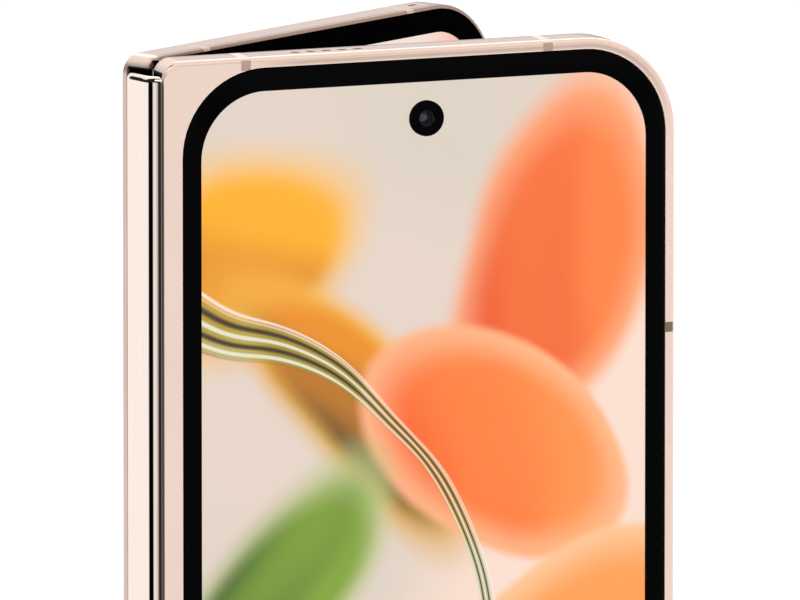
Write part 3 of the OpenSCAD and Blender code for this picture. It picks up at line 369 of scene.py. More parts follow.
def satin_metal(name, part, edge=None, hollow=False, wall=False):
    """Bead-blasted anodised aluminium: fine grain and faint cloudiness on the flats, polished along the rounded
    edges, which also carry a warmer, darker painted shade; a polished cut line beside the glass with a painted
    highlight; painted shade on the front rim above the glass near the top, towards the inner face, in the pocket
    round the fold, and on the cover half's side wall beside the spine."""
    f = Finish(name, part)
    grain = f.noise(f.place, 9000, 3)
    cloud = f.noise(f.place, 60, 2)
    colour = f.mix(tint(232, 209, 196), tint(229, 206, 192), cloud.step(0.35, 0.7))
    rough = grain * 0.05 + 0.34
    if edge:
        # Painted shade: a warmer, darker tone on the rounded edges and walls, besides their real polish (lower
        # roughness).
        outer = f.edge_distance(HALF_EDGE).step(-0.75, -0.55)
        rough = rough - outer * 0.16
        colour = f.mix(colour, tint(224, 195, 179), outer * 0.8)
        # Cut line beside the glass: really polished (lower roughness), with a painted highlight in its lighter colour.
        cut_polish_and_highlight = 1 - abs(f.edge_distance(edge) - 0.12).step(0.02, 0.14)
        rough = rough - cut_polish_and_highlight * 0.1
        colour = f.mix(colour, tint(240, 218, 204), cut_polish_and_highlight * 0.6)
        # Painted shade: a darker band on the flat front rim above the glass, along the top.
        rim = f.edge_distance(edge).step(0.1, 0.3) * (1 - f.edge_distance(HALF_EDGE).step(-0.8, -0.7))
        rim = rim * (f.z - HEIGHT + 14).step(0, 11) * f.u.step(11, 22) * f.v.step(4.9, 5.05)
        colour = f.mix(colour, tint(188, 164, 149), rim * 0.75)
        # Painted shade: darker towards the inner face, in the gap between the halves.
        colour = f.mix(colour, tint(120, 92, 78), (1 - f.v.step(0.1, 1.5)) * 0.75)
    if hollow:
        # Painted shade: the pocket round the fold axis, and a line on the hinge side at the depth of the inner
        # screen's layers, are painted dark.
        du, dv = f.u - AXIS_U, f.v - AXIS_V
        painted_pocket_shade = 1 - (du * du + dv * dv).root().step(POCKET_R - 0.04, POCKET_R)
        deck = PANEL_DEEP + PANEL_THICK + PLATE_THICK
        deck = (1 - abs(f.v - deck).step(0.1, 0.2)) * (1 - f.u.step(7, 7.2))
        painted_pocket_shade = painted_pocket_shade.most(deck) * (1 - near_ends(f.z, 1.6, 1.5))
        colour = f.mix(colour, tint(46, 36, 32), painted_pocket_shade)
    if wall:
        # Painted shade: the cover half's side wall beside the spine is painted dark brown.
        side = (1 - f.u.step(0.02, 0.1)) * f.v.step(3.9, 4.2) * (1 - near_ends(f.z, 3.2, 2.2))
        colour = f.mix(colour, tint(88, 62, 46), side)
        rough = rough + painted_pocket_shade * 0.2
    return f.surface(f.principled(base_color=colour, metallic=0.8, roughness=rough, normal=f.bump(grain, 0.004, 0.2)))


def polished_metal(name):
    """Mirror-polished warm metal with the faintest lengthwise draw marks."""
    f = Finish(name, "spine")
    marks = f.noise(f.vector(f.x * 6, f.y * 6, f.z * 0.05), 2.0, 3)
    colour = f.mix(tint(234, 219, 210), tint(230, 214, 204), marks.step(0.3, 0.8))
    return f.surface(f.principled(base_color=colour, metallic=1.0, roughness=marks * 0.01 + 0.02,
                                  normal=f.bump(marks, 0.002, 0.03)))


def break_plastic(name, part):
    """Moulded antenna break: pale where it crosses the narrow sides, browner where it meets the glass."""
    f = Finish(name, part)
    grain = f.noise(f.place, 7000, 3)
    front = f.v.step(4.85, 5.05)
    if part == "camera":
        pale, brown = tint(206, 186, 170), tint(204, 180, 164)
    else:
        side = (f.u - WIDTH + 3).step(0, 1)
        pale = f.mix(tint(233, 216, 204), tint(198, 174, 156), side)
        brown = f.mix(tint(172, 142, 128), tint(112, 94, 70), side)
    return f.surface(f.principled(base_color=f.mix(pale, brown, front), roughness=grain * 0.12 + 0.36,
                                  normal=f.bump(grain, 0.006, 0.25)))


def plain_metal(name, colour, dark, rough, scale, stretch=(1, 1, 1)):
    """Machined or pressed metal: streaks of two tones and a matching roughness."""
    f = Finish(name)
    streak = f.noise(f.vector(f.x * stretch[0], f.y * stretch[1], f.z * stretch[2]), scale / 1000, 4)
    grain = f.noise(f.place, 6000, 2)
    return f.surface(f.principled(base_color=f.mix(colour, dark, streak.step(0.35, 0.7)), metallic=1.0,
                                  roughness=streak * 0.15 + rough, normal=f.bump(grain + streak, 0.01, 0.2)))


def plastic(name, colour, dark, rough, gloss=0.5):
    """Moulded plastic with a fine spark-eroded texture."""
    f = Finish(name)
    grain = f.noise(f.place, 7000, 3)
    cloud = f.noise(f.place, 900, 2)
    return f.surface(f.principled(base_color=f.mix(colour, dark, cloud.step(0.3, 0.75)),
                                  roughness=grain * 0.12 + rough, specular_ior_level=gloss,
                                  normal=f.bump(grain, 0.006, 0.25)))


# Petals of the outer picture: middle, half sizes, lean, softness, depth of the folds, and the shaded, lit and
# rim colours
PETALS = [
    ((8, 128), (17, 13), 30, 0.3, 0.8, (214, 122, 8), (255, 176, 16), (250, 200, 110)),
    ((22, 104), (9, 26), 34, 0.22, 0.5, (88, 66, 14), (236, 142, 10), (252, 190, 70)),
    ((53, 121), (14, 27), -20, 0.13, 0.7, (236, 78, 16), (255, 128, 56), (255, 180, 132)),
    ((43, 94), (23, 14), -38, 0.06, 0.5, (250, 98, 22), (255, 144, 66), (255, 196, 148)),
    ((10, 76), (9, 22), -40, 0.22, 0.9, (46, 84, 14), (126, 162, 44), (200, 204, 146)),
    ((58, 60), (27, 19), 34, 0.05, 0.4, (250, 108, 30), (255, 158, 78), (255, 208, 160)),
    ((14, 38), (25, 17), -26, 0.08, 0.6, (242, 84, 20), (255, 134, 60), (255, 190, 132)),
    ((36, 12), (33, 16), 8, 0.16, 0.6, (234, 122, 12), (255, 176, 44), (255, 214, 140)),
]


def outer_wallpaper(name):
    """Lit outer screen: folded silk in coral, orange and amber over warm cream, crossed by a fan of fine green and
    olive threads; x and y run in millimetres from the picture's lower corner and bend with slow noise. Only the
    front of the panel shines."""
    f = Finish(name, "cover")
    slow = f.noise(f.place, 16, 2)
    turn = f.noise(f.vector(f.z * MM, f.x * MM), 11, 2)
    x = f.u - SCREEN_EDGE[0] + (slow - 0.5) * 16
    y = f.z - SCREEN_EDGE[2] + (turn - 0.5) * 22

    def petal(under, centre, size, lean, soft, fold, *colours):
        """Leaning oval with a lit side, a shaded side, a bright rim and a few soft folds."""
        shaded, lit, rim = (tint(*colour) for colour in colours)
        c, s = math.cos(math.radians(lean)), math.sin(math.radians(lean))
        a = ((x - centre[0]) * c + (y - centre[1]) * s) / size[0]
        b = ((y - centre[1]) * c - (x - centre[0]) * s) / size[1]
        r = (a * a + b * b * (1 + a * 0.35)).root()
        crease = ((a * 5 + b * 2.5 + slow * 9).sin() * 0.5 + 0.5) * fold
        body = f.mix(shaded, lit, (a * 0.45 + b * 0.35 + 0.5 + crease * 0.35).step(0.05, 0.95))
        body = f.mix(body, rim, r.step(0.62, 1.02) * 0.75)
        return f.mix(under, body, 1 - r.step(1 - soft, 1 + soft))

    picture = f.mix(tint(229, 211, 198), tint(203, 202, 184), f.noise(f.place, 13, 1).step(0.42, 0.66))
    picture = f.mix(picture, tint(250, 221, 205), (x * 0.05 - y * 0.02 + 0.5).sin().step(0.1, 0.95))
    for row in PETALS:
        picture = petal(picture, *row)

    along = x * 0.021 + (slow - 0.5) * 0.5
    middle = 118 - x * 1.35 + (along * 3.0).sin() * 17
    spread = 1.7 + abs(x - 30) * 0.085
    across = (y - middle) / spread
    inside = 1 - abs(across).step(0.8, 1.0)
    thread = (across * 8 + along * 2).sin()
    colour = f.mix(tint(44, 40, 12), tint(126, 160, 60), thread.step(-0.85, -0.1))
    colour = f.mix(colour, tint(246, 238, 214), thread.step(0.45, 0.95) * 0.85)
    picture = f.mix(picture, colour, inside * (0.5 + thread * thread * 0.5).least(1))
    edge = 1 - abs(across - 1.05).step(0.02, 0.1)
    picture = f.mix(picture, tint(255, 250, 240), edge * 0.7)
    picture = f.mix((0, 0, 0, 1), picture, f.v.step(GLASS_V - 0.05, GLASS_V - 0.01))
    dots = f.noise(f.place, 9000, 1)
    return f.surface(f.principled(base_color=(0.004, 0.004, 0.004, 1), roughness=dots * 0.1 + 0.4,
                                  emission_color=picture, emission_strength=1.0))


def inner_wallpaper(name, part, uv=False):
    """Lit inner screen: the same cream, coral and amber in broad soft fields, with s measured from the fold. Only the
    front shines; with uv, the picture also has its black border at the two ends."""
    f = Finish(name, part, uv)
    if uv:
        s, z = f.x, f.y
    else:
        s, z = f.u + (AXIS_OFF - AXIS_U), f.z
        if part == "cover":
            s = -s
    warp = f.noise(f.vector(s, z), 0.03, 2)
    x, y = s + (warp - 0.5) * 14, z + (warp - 0.5) * 12
    picture = f.mix(tint(233, 217, 209), tint(244, 222, 210), warp.step(0.35, 0.65))

    def field(under, centre, radius, soft, inner, outer):
        """Soft disc that goes from one colour to another towards its edge."""
        dx, dy = x - centre[0], y - centre[1]
        r = (dx * dx + dy * dy).root()
        return f.mix(under, f.mix(inner, outer, r.step(0, radius)), 1 - r.step(radius - soft, radius + soft))

    picture = field(picture, (71, 146), 9, 5, tint(255, 150, 140), tint(246, 190, 168))
    picture = field(picture, (38, 84), 30, 6, tint(255, 142, 84), tint(250, 108, 52))
    picture = field(picture, (-34, 62), 34, 10, tint(255, 184, 66), tint(240, 134, 40))
    picture = field(picture, (-50, 126), 20, 8, tint(252, 128, 96), tint(250, 168, 132))
    wave = (x * 0.045 + 1.0).sin() * 16 + 44
    picture = f.mix(picture, tint(116, 142, 66), (1 - abs(y - wave).step(2.0, 5.0)) * 0.85)
    picture = f.mix(picture, tint(248, 232, 214), 1 - abs(y - wave - 6.5).step(0.6, 2.2))
    picture = field(picture, (24, 18), 22, 5, tint(255, 168, 76), tint(246, 116, 44))
    if uv:
        picture = f.mix(picture, (0, 0, 0, 1), near_ends(z, 3.85, 3.75))
    else:
        picture = f.mix(picture, (0, 0, 0, 1), f.v.step(PANEL_DEEP + 0.01, PANEL_DEEP + 0.05))
    grain = f.noise(f.vector(s, z), 8.0, 1)
    return f.surface(f.principled(base_color=(0.012, 0.012, 0.012, 1), roughness=grain * 0.08 + 0.22,
                                  coat_weight=0.2, emission_color=picture, emission_strength=0.95))


def front_glass(name):
    """Cover glass: clear over the lit area and the camera, black print around them."""
    f = Finish(name, "cover")
    print_mask = f.edge_distance(SCREEN_EDGE).step(-0.02, 0.02)
    eye = f.from_point(EYE[0], EYE[1])
    print_mask = print_mask.most((1 - eye.step(EYE[2] - 0.02, EYE[2] + 0.02)) * eye.step(1.12, 1.18))
    smear = f.noise(f.place, 45, 4)
    black = f.principled(base_color=(0.0006, 0.0006, 0.0008, 1), roughness=smear * 0.05 + 0.03, ior=1.45,
                         specular_ior_level=0.03)
    clear = f.wire("ShaderNodeBsdfTransparent", None, {0: (1, 1, 1, 1)})
    gloss = f.wire("ShaderNodeBsdfGlossy", None, {"Color": (1, 1, 1, 1), "Roughness": 0.04})
    fresnel = f.wire("ShaderNodeFresnel", None, {"IOR": 1.42})
    return f.surface(f.blend(f.blend(clear, gloss, fresnel * 0.3), black, print_mask))


def island_window(name):
    """Black lens cover with clear windows over the lenses and the flash."""
    f = Finish(name, "camera")
    window = 1 - f.from_point(*FLASH).step(1.55, 1.6)
    for place in LENSES.values():
        window = window.most(1 - f.from_point(*place).step(3.5, 3.55))
    smear = f.noise(f.place, 60, 4)
    black = f.principled(base_color=(0.004, 0.004, 0.004, 1), roughness=smear * 0.05 + 0.05, ior=1.45,
                         specular_ior_level=0.25)
    clear = f.wire("ShaderNodeBsdfTransparent", None, {0: (0.93, 0.93, 0.94, 1)})
    gloss = f.wire("ShaderNodeBsdfGlossy", None, {"Color": (1, 1, 1, 1), "Roughness": 0.03})
    fresnel = f.wire("ShaderNodeFresnel", None, {"IOR": 1.4})
    return f.surface(f.blend(black, f.blend(clear, gloss, fresnel * 0.4), window))


def etched_glass(name):
    """Satin back glass: pale warm coat under a soft etched surface."""
    f = Finish(name, "camera")
    grain = f.noise(f.place, 8000, 2)
    cloud = f.noise(f.place, 25, 2)
    colour = f.mix(tint(228, 205, 192), tint(222, 196, 182), cloud.step(0.35, 0.7))
    return f.surface(f.principled(base_color=colour, metallic=0.25, roughness=grain * 0.06 + 0.36, coat_weight=0.5,
                                  coat_roughness=0.3, normal=f.bump(grain, 0.003, 0.15)))


def lens_black(name, part):
    """Black anodised barrel with fine turned rings round each lens."""
    f = Finish(name, part)
    ring = f.number(1e3)
    for place in ([EYE[:2]] if part == "cover" else [*LENSES.values(), INNER_EYE]):
        ring = ring.least(f.from_point(*place))
    groove = (ring * 38).sin()
    rough = f.noise(f.place, 2000, 2) * 0.1 + 0.28
    colour = f.mix((0.008, 0.008, 0.009, 1), (0.02, 0.02, 0.022, 1), groove.step(-1, 1))
    trim = (1 - abs(ring - 3.36).step(0.04, 0.09)) * (1 if part == "camera" else 0)
    colour = f.mix(colour, tint(168, 156, 148), trim)
    return f.surface(f.principled(base_color=colour, roughness=rough, metallic=trim * 0.5 + 0.4,
                                  normal=f.bump(groove, 0.01, 0.4)))


def lens_coat(name, part, centre, radius):
    """Coated lens: near black with the coating's faint blue and violet tint and a painted bluish glint towards the
    middle.
    """
    f = Finish(name, part)
    r = f.from_point(*centre) / radius
    # Painted glint: the bluish spot in the middle, over the coating's dark tint.
    coat_tint_and_glint = f.mix(tint(44, 58, 104), tint(12, 9, 18), r.step(0.05, 0.4))
    coat_tint_and_glint = f.mix(coat_tint_and_glint, tint(20, 28, 42), r.step(0.7, 0.9) * 0.6)
    dust = f.noise(f.place, 800, 2)
    return f.surface(f.principled(base_color=coat_tint_and_glint, roughness=dust * 0.02 + 0.02, ior=1.6, specular_ior_level=0.25,
                                  coat_weight=0.2))


def circuit(name, part):
    """Solder mask with tracks, pads and a little gold."""
    f = Finish(name, part)
    cells = f.wire("ShaderNodeTexVoronoi", {"feature": "DISTANCE_TO_EDGE"},
                   {"Vector": f.vector(f.u * 0.9, f.z * 0.9, 0), "Scale": 1.0})
    track = 1 - cells.step(0.03, 0.06)
    pads = 1 - f.wire("ShaderNodeTexVoronoi", None, {"Vector": f.vector(f.u, f.z, 0), "Scale": 0.8}).step(0.14, 0.18)
    colour = f.mix(tint(18, 66, 48), tint(38, 104, 72), track)
    colour = f.mix(colour, tint(206, 170, 96), pads)
    return f.surface(f.principled(base_color=colour, roughness=0.35 - pads * 0.1, metallic=pads * 0.9,
                                  normal=f.bump(track + pads, 0.02, 0.4)))


def pouch(name, part):
    """Battery foil: dark laminate with soft dimples and a seam."""
    f = Finish(name, part)
    dimple = f.noise(f.place, 300, 3)
    weave = f.noise(f.place, 4000, 1)
    colour = f.mix(tint(44, 45, 48), tint(58, 60, 64), dimple.step(0.35, 0.7))
    return f.surface(f.principled(base_color=colour, roughness=dimple * 0.2 + 0.3, metallic=0.3,
                                  normal=f.bump(dimple + weave * 0.1, 0.08, 0.3)))


def wound_coil(name):
    """Copper wire wound in rings round the middle of the coil."""
    f = Finish(name, "camera")
    ring = (f.from_point(*BATTERY_COIL) * (2 * math.pi / 0.8)).sin()
    tone = f.noise(f.place, 120, 2)
    colour = f.mix(tint(120, 62, 32), tint(206, 128, 78), ring.step(-0.8, 0.6))
    return f.surface(f.principled(base_color=f.mix(colour, tint(176, 96, 54), tone * 0.3), metallic=0.9,
                                  roughness=0.35 + tone * 0.1, normal=f.bump(ring, 0.1, 0.6)))


def flexible_film(name, uv=False):
    """Amber film with parallel copper tracks."""
    f = Finish(name, "cover", uv)
    across = f.y if uv else f.z
    tracks = (across * (2 * math.pi / 0.7)).sin().step(-0.2, 0.2)
    tone = f.noise(f.vector(f.x, f.y, f.z), 0.4, 2)
    colour = f.mix(tint(168, 104, 36), tint(198, 134, 58), tracks)
    colour = f.mix(colour, tint(150, 92, 30), tone * 0.4)
    return f.surface(f.principled(base_color=colour, roughness=tone * 0.2 + 0.25, metallic=tracks * 0.4,
                                  normal=f.bump(tracks, 0.02, 0.4)))


def woven_mesh(name):
    """Dark woven speaker mesh: round holes on a fine grid."""
    f = Finish(name, "cover")
    hole = ((f.u * 18).sin() * (f.z * 18 + f.v * 18).sin()).step(0.1, 0.5)
    return f.surface(f.principled(base_color=f.mix(tint(92, 84, 78), tint(16, 14, 13), hole), metallic=0.7,
                                  roughness=0.4 + hole * 0.2, normal=f.bump(hole, 0.03, 0.5)))


def diffuser(name):
    """Milky flash window with fine rings."""
    f = Finish(name, "camera")
    ring = (f.from_point(*FLASH) * (2 * math.pi / 0.32)).sin()
    colour = f.mix(tint(250, 240, 206), tint(232, 214, 160), ring.step(-1, 1))
    return f.surface(f.principled(base_color=colour, roughness=0.25 + ring * 0.05, coat_weight=0.6,
                                  normal=f.bump(ring, 0.03, 0.5)))


def dress(finish, *names):
    """Gives carried-over nodes a material, in every slot."""
    for name in names:
        for slot in nodes[name].material_slots:
            slot.material = finish.material


steel = plain_metal("steel", tint(190, 191, 194), tint(158, 160, 164), 0.22, 900)
hinge_steel = plain_metal("hinge_steel", tint(150, 151, 155), tint(120, 122, 126), 0.3, 700, (1, 1, 4))
shield = plain_metal("shield_metal", tint(208, 208, 210), tint(188, 188, 190), 0.28, 300, (4, 1, 0.4))
magnet = plain_metal("magnet", tint(176, 177, 180), tint(150, 150, 154), 0.18, 400)
brass = plain_metal("pinion_brass", tint(214, 178, 104), tint(176, 138, 72), 0.22, 800, (1, 1, 3))
spring = plain_metal("spring_steel", tint(178, 166, 146), tint(140, 128, 108), 0.25, 500, (3, 1, 1))
frame_cover = satin_metal("frame_metal", "cover", GLASS_EDGE, True, True)
frame_camera = satin_metal("frame_metal_camera", "camera", GLASS_EDGE, True)
frame_button = satin_metal("frame_metal_button", "camera")
island_metal = satin_metal("island_metal", "camera", WINDOW_EDGE)
black_trim = plastic("black_trim", (0.0008, 0.0008, 0.001, 1), (0.0014, 0.0014, 0.0016, 1), 0.4, 0.0)
dark_plastic = plastic("dark_plastic", tint(34, 34, 36), tint(24, 24, 26), 0.5)
spine_metal = polished_metal("polished_metal")
lens_black_cover = lens_black("lens_black_cover", "cover")
lens_black_camera = lens_black("lens_black_camera", "camera")

dress(frame_cover, "cover_frame", "sim_tray")
dress(frame_camera, "camera_frame")
dress(frame_button, "power_button", "volume_rocker")
dress(island_metal, "camera_island")
dress(break_plastic("antenna_plastic", "cover"), "cover_antenna_bands")
dress(break_plastic("antenna_plastic_camera", "camera"), "camera_antenna_bands")
dress(outer_wallpaper("outer_screen"), "cover_display")
dress(inner_wallpaper("inner_screen_cover", "cover"), "cover_inner_display")
dress(inner_wallpaper("inner_screen_camera", "camera"), "camera_inner_display")
dress(black_trim, "cover_gasket", "cover_inner_trim", "camera_inner_trim")
dress(spine_metal, "spine_cover")
dress(etched_glass("back_glass"), "back_glass")
dress(island_window("lens_glass"), "island_glass")
dress(lens_black_camera, "inner_camera")
dress(pouch("battery_foil", "cover"), "cover_battery", "main_battery")
dress(circuit("circuit_board_cover", "cover"), "cover_board")
dress(circuit("circuit_board_camera", "camera"), "main_board", "bottom_board")
dress(shield, "cover_shields", "board_shields", "sim_socket", "port_shell")
dress(steel, "cover_board_screws", "main_board_screws", "cover_arm_screws", "camera_arm_screws", "base_screws",
      "vibration_motor", "cover_plate", "camera_plate")
dress(hinge_steel, "cover_arms", "camera_arms", "hinge_bases")
dress(brass, "cover_pinions", "camera_pinions")
dress(spring, "torque_clips")
dress(magnet, "cover_magnets", "camera_magnets")
dress(dark_plastic, "top_speaker", "loudspeaker", "port_tongue")
dress(woven_mesh("mesh_metal"), "speaker_mesh")
dress(wound_coil("coil_copper"), "charging_coil")
dress(flexible_film("flex_strip"), "switch_strip")

# Outer glass with its softly rounded edge
edge_turn = np.linspace(0, math.pi / 2, 7)
glass_back, edge_in, edge_deep = GLASS_V + 0.04, 0.5, 0.22
glass_profile = [(0.4, glass_back), (0.0, glass_back),
                 *zip(edge_in * (1 - np.cos(edge_turn)), THICK - edge_deep + edge_deep * np.sin(edge_turn))]
points, faces = swept_plate(rounded(*GLASS_OUTLINE), glass_profile)
outer_glass = make_piece("outer_glass", set_in(cover_at, points), faces, front_glass("screen_glass"))
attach(outer_glass, "cover_half")
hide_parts("cover_glass")


def lens_set(node, centre, at, body, barrel, finish, box_v, top_v, r, square):
    """Camera module: a rounded housing with a stepped barrel of radius r that ends at the depth top_v, and its
    domed lens as a second piece."""
    half = square / 2
    housing = swept_plate(rounded(centre[0] - half, centre[0] + half, centre[1] - half, centre[1] + half, 0.5, 4),
                          [(0.25, box_v[0]), (0, box_v[0] + 0.2), (0, box_v[1] - 0.2), (0.25, box_v[1])])
    tube = turned_profile(centre, [(r, box_v[1] - 0.2), (r, top_v - 0.1), (r - 0.1, top_v), (r * 0.86, top_v),
                                   (r * 0.8, top_v - 0.12), (r * 0.78, top_v - 0.3), (r * 0.66, top_v - 0.45),
                                   (r * 0.64, top_v - 0.6), (r * 0.52, top_v - 0.7), (r * 0.5, top_v - 0.95),
                                   (0.05, top_v - 0.95)])
    points, faces = joined(housing, tube)
    module = make_piece(node + "_module", set_in(at, points), faces, barrel)
    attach(module, body)
    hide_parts(node)
    points, faces = dome(centre, r * 0.49, top_v - 0.6, r * 0.09)
    lens = make_piece(node + "_lens", set_in(at, points), faces, finish)
    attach(lens, body)


lens_set("cover_camera", EYE[:2], cover_at, "cover_half", lens_black_cover,
         lens_coat("outer_eye", "cover", EYE[:2], 1.12), (BAY_V, SCREEN_V - 0.1), GLASS_V - 0.02,
         EYE[2] - 0.1, EYE_BOX)
for node, centre in LENSES.items():
    lens_set(node, centre, camera_at, "camera_half", lens_black_camera,
             lens_coat(node + "_coat", "camera", centre, 2.0), (BAY_V, BACK_V - 0.4), THICK + ISLAND_OUT - 0.55,
             LENS_R, LENS_BOX)

# Flash: a small housing, and a window with two rings
points, faces = joined(
    swept_plate(rounded(FLASH[0] - 2.2, FLASH[0] + 2.2, FLASH[1] - 2.2, FLASH[1] + 2.2, 0.4, 4),
                [(0.1, BAY_V), (0, BAY_V + 0.1), (0, 3.0), (0.1, 3.1)]),
    turned_profile(FLASH, [(1.8, 3.0), (1.8, 6.1), (1.7, 6.2), (1.3, 6.2), (1.2, 6.12), (0.9, 6.2), (0.8, 6.12),
                           (0.5, 6.2), (0.1, 6.24)]))
flash = make_piece("flash_window", set_in(camera_at, points), faces, diffuser("flash_lens"))
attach(flash, "camera_half")
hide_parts("flash_module")


# Folding middle of the inner screen
def fold_line():
    """Middle line of the fold from its fastening to the middle of the loop: a straight run, an outward bend and a
    larger arc that meets the middle at a right angle; the first bend's turn is found by halving."""
    length = FOLD_HOLD + AXIS_OFF
    depth = PANEL_DEEP + PANEL_THICK / 2 - AXIS_V
    x0, y0 = turned_by(FOLD_HOLD, depth, TURN)
    start = np.array([x0 + AXIS_IN, y0 + AXIS_OFF])
    first = math.pi + TURN

    def radius(bend):
        """Radius of the larger arc that uses up the length."""
        return (length - FOLD_FLAT - FOLD_EASE * bend) / (math.pi / 2 - TURN + bend)

    def miss(bend):
        """How far the larger arc ends from the middle."""
        return (start[1] + FOLD_FLAT * math.sin(first) + FOLD_EASE * (math.cos(first - bend) - math.cos(first))
                + radius(bend) * math.cos(first - bend))

    low, high = math.radians(1), math.radians(80)
    for _ in range(40):
        middle = (low + high) / 2
        low, high = (low, middle) if miss(middle) > 0 else (middle, high)
    bend, tip = low, radius(low)
    arc = first - np.linspace(0, bend, 10)
    second = first - bend
    sweep = second + np.linspace(0, 1.5 * math.pi - second, 26)
    bent = start + FOLD_FLAT * np.array([math.cos(first), math.sin(first)])
    one = bent + FOLD_EASE * np.stack([math.sin(first) - np.sin(arc), np.cos(arc) - math.cos(first)], -1)
    two = one[-1] + tip * np.stack([np.sin(sweep) - math.sin(second), math.cos(second) - np.cos(sweep)], -1)
    run = start + np.linspace(0, 1, 8)[:-1, None] * (bent - start)
    return np.concatenate([run, one, two[1:]]), np.concatenate([np.full(len(run), first), arc, sweep[1:]])


def fold_strip(name, side, path, low, high, z0, z1, finish, node):
    """One side of a strip across the fold, mirrored to that side and set in place on the spine. In its pattern s runs
    from the middle outwards beside z, and the back is moved down by two heights, where the picture is black."""
    line, heading = path
    run = np.concatenate([[0], np.cumsum(np.hypot(*np.diff(line, axis=0).T))])
    points, faces, z = strip_solid(line * [1, side], heading * side, low * side, high * side, z0, z1, spine_at)
    s = (run[-1] - np.concatenate([run, run[::-1]])) * side
    back = np.repeat([2 * HEIGHT, 0], [len(line) - 1, len(line) + 1])
    uv = np.stack([np.broadcast_to(s, (len(z), len(s))), z[:, None] - back], -1)
    piece = make_piece(name, points, faces, finish, uv=uv.reshape(-1, 2) * MM)
    tuple(spine_at(4.954, -2.176 * side, 0))
    tuple(spine_at(0.206, -0.09 * side, 0))
    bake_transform(piece)
    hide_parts(node)


def flex_line():
    """Middle line of a flexible cable: straight out of the half, then a cubic curve through the hinge's middle."""
    def arm_point(p, q):
        """Point of a half, at p along it and q across it from its fold axis."""
        return np.add(turned_by(p, q, TURN), (AXIS_IN, AXIS_OFF))

    end, a, b = arm_point(7.5, 0.7), arm_point(3.4, 0.7), arm_point(0.9, 0.9)
    c, d = np.array([1.35, 2.2]), np.array([1.35, 0.0])
    t = np.linspace(0, 1, 20)[:, None]
    curve = a * (1 - t) ** 3 + 3 * b * t * (1 - t) ** 2 + 3 * c * t ** 2 * (1 - t) + d * t ** 3
    line = np.concatenate([end + np.linspace(0, 1, 5)[:-1, None] * (a - end), curve])
    along = np.gradient(line, axis=0)
    heading = np.unwrap(np.arctan2(along[:, 1], along[:, 0]))
    heading[-1] = -math.pi / 2 if heading[-1] < 0 else 1.5 * math.pi
    return line, heading


fold_picture = inner_wallpaper("inner_screen_fold", "spine", uv=True)
cable_film = flexible_film("flex_copper", uv=True)
film_path = fold_line()
backing_path = [part[:-BACKING_CUT] for part in film_path]
along = np.linspace(0, 1, len(film_path[0]))
crest = FOLD_CREST * np.interp(along, (0.68, 0.83, 0.95, 1), (0, 1, 1, 0))[:, None]
for side, word in ((1, "camera"), (-1, "cover")):
    fold_strip("fold_film_" + word, side, film_path, -PANEL_THICK / 2, PANEL_THICK / 2 + crest, FOLD_END,
               HEIGHT - FOLD_END, fold_picture, "fold_display")
    fold_strip("fold_backing_" + word, side, backing_path, -PANEL_THICK / 2 - PLATE_THICK, -PANEL_THICK / 2,
               FOLD_END + 0.1, HEIGHT - FOLD_END - 0.1, steel, "fold_plate")
    for z, level in ((FLEX_Z[0], "low"), (FLEX_Z[1], "high")):
        fold_strip(f"flex_{level}_{word}", side, flex_line(), -FLEX_THICK / 2, FLEX_THICK / 2, z, z + FLEX_WIDE,
                   cable_film, "hinge_flexes")

# Floor
floor_mesh = bpy.data.meshes.new("floor")
FLOOR = 8
floor_mesh.from_pydata([(-FLOOR, -FLOOR, 0), (FLOOR, -FLOOR, 0), (FLOOR, FLOOR, 0), (-FLOOR, FLOOR, 0)], [],
                       [(0, 1, 2, 3)])
floor = bpy.data.objects.new("floor", floor_mesh)
bpy.context.scene.collection.objects.link(floor)
floor_finish = Finish("floor_paper")
fibre = floor_finish.noise(floor_finish.place, 400, 3)
paper = floor_finish.mix((0.93, 0.93, 0.93, 1), (0.95, 0.95, 0.945, 1), fibre)
floor_finish.surface(floor_finish.principled(base_color=paper, roughness=0.95))
floor_mesh.materials.append(floor_finish.material)
floor.visible_glossy = False

# Soft studio light: an even sky, with darker cards where a studio has them
world = bpy.data.worlds.new("studio")
bpy.context.scene.world = world
sky = Tree(world)
toward = sky.add("ShaderNodeTexCoord")
direction = sky.add("ShaderNodeSeparateXYZ", None, {0: Wire(sky, toward.outputs["Generated"])})
dx, dy, dz = (Wire(sky, direction.outputs[i]) for i in range(3))
azimuth = (dy.math("ARCTAN2", dx) * (180 / math.pi)).wrap(0, 360)
elevation = dz.math("ARCSINE") * (180 / math.pi)


def between(value, low, high, soft):
    """1 between low and high, with edges of a given softness."""
    return value.step(low - soft, low + soft) * (1 - value.step(high - soft, high + soft))


def ring_light(*stops):
    """Brightness round the horizon: places in degrees, each with its brightness."""
    return sky.wire("ShaderNodeValToRGB", {"stops": [(a / 360, (b, b, b, 1)) for a, b in stops]}, {0: azimuth / 360})


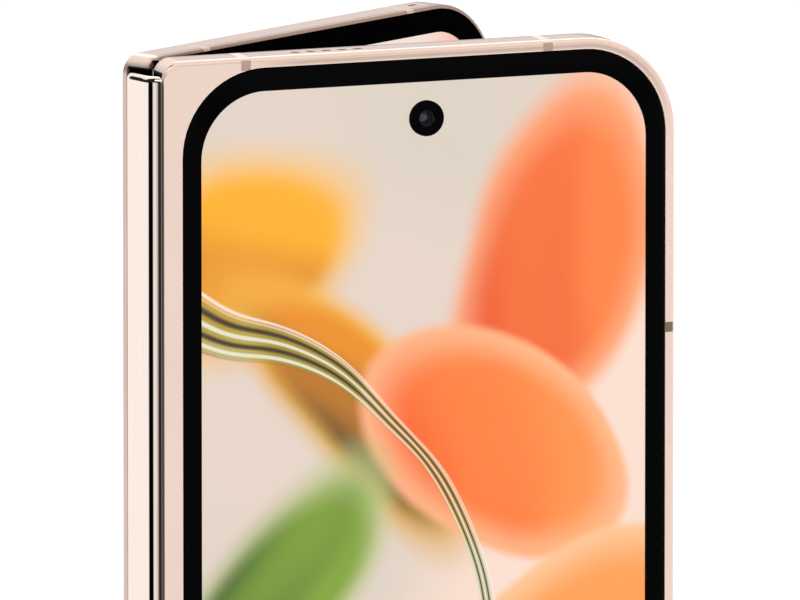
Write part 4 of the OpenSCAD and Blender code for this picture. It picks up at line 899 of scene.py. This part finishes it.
FULL_LIGHT, SKY_SEEN = 1.2, 0.97
wall_light = ring_light((0, 1.0), (44, 1.0), (56, 0.4), (70, 0.4), (80, 0.85), (90, 0.95), (104, 0.95), (122, 1.0),
                        (183, 1.0), (188, 0.0), (208, 0.0), (213, 0.88), (220, 0.88), (229, 0.7), (234, 0.42),
                        (238, 0.03), (250, 0.02), (254, 0.5), (258, 1.0), (287, 1.0), (288.5, 0.0), (293.5, 0.0),
                        (295, 1.0), (330, 1.0)) * FULL_LIGHT
low_light = wall_light.most(between(azimuth, 286, 296, 1) * (1 - between(elevation, -12.5, -6.5, 1)) * FULL_LIGHT)
behind = between(azimuth, 20, 112, 12)
in_front = between(azimuth, 250, 330, 14)
high_light = FULL_LIGHT - between(elevation, -20, 13, 4) * behind * 0.42
high_light = high_light - in_front * (1 - elevation.step(10, 30)) * 0.5
shade_card = (between(azimuth, 120, 204, 4) * between(elevation, -3, 31, 3)).most(
    between(azimuth, 160, 250, 6) * between(elevation, 4, 80, 3))
rise = elevation.step(3, 10)
glow = (low_light * (1 - rise) + high_light * rise) * (1 - shade_card * 0.98)
path = sky.add("ShaderNodeLightPath")
glossy = Wire(sky, path.outputs["Is Glossy Ray"])
strength = glossy * glow + (1 - glossy) * SKY_SEEN
seen = sky.add("ShaderNodeBackground", None, {"Color": (1, 1, 1, 1), "Strength": strength})
sky.add("ShaderNodeOutputWorld", None, {"Surface": Wire(sky, seen.outputs[0])})


def lamp(name, place, target, size, power, colour=(1, 1, 1)):
    """Area lamp at a place, turned towards its target."""
    data = bpy.data.lights.new(name, "AREA")
    data.shape, data.size, data.size_y = "RECTANGLE", size[0], size[1]
    data.energy, data.color = power, colour
    light = bpy.data.objects.new(name, data)
    light.location = place
    light.rotation_euler = (Vector(target) - Vector(place)).to_track_quat("-Z", "Y").to_euler()
    bpy.context.scene.collection.objects.link(light)


lamp("key", (-1.2, -1.6, 2.2), (0, 0, 0.1), (1.4, 1.4), 14, (1.0, 0.985, 0.97))
lamp("back", (0.8, 1.6, 1.8), (0, 0, 0.1), (1.6, 1.0), 8)

# Camera: a long lens well back, above the top and to the left
camera_data = bpy.data.cameras.new("camera")
FOCAL_PIXELS, PICTURE_PIXELS, SENSOR = 21526, 800, 36
camera_data.sensor_width = SENSOR
camera_data.lens = FOCAL_PIXELS / PICTURE_PIXELS * SENSOR
camera_data.clip_end = 50
camera = bpy.data.objects.new("camera", camera_data)
camera.location = (-1.0466, -2.7143, 0.6001)
camera.rotation_euler = Vector((0.35436, 0.92082, -0.16286)).to_track_quat("-Z", "Y").to_euler()
bpy.context.scene.collection.objects.link(camera)
bpy.context.scene.camera = camera
bpy.context.scene.view_settings.view_transform = "Standard"
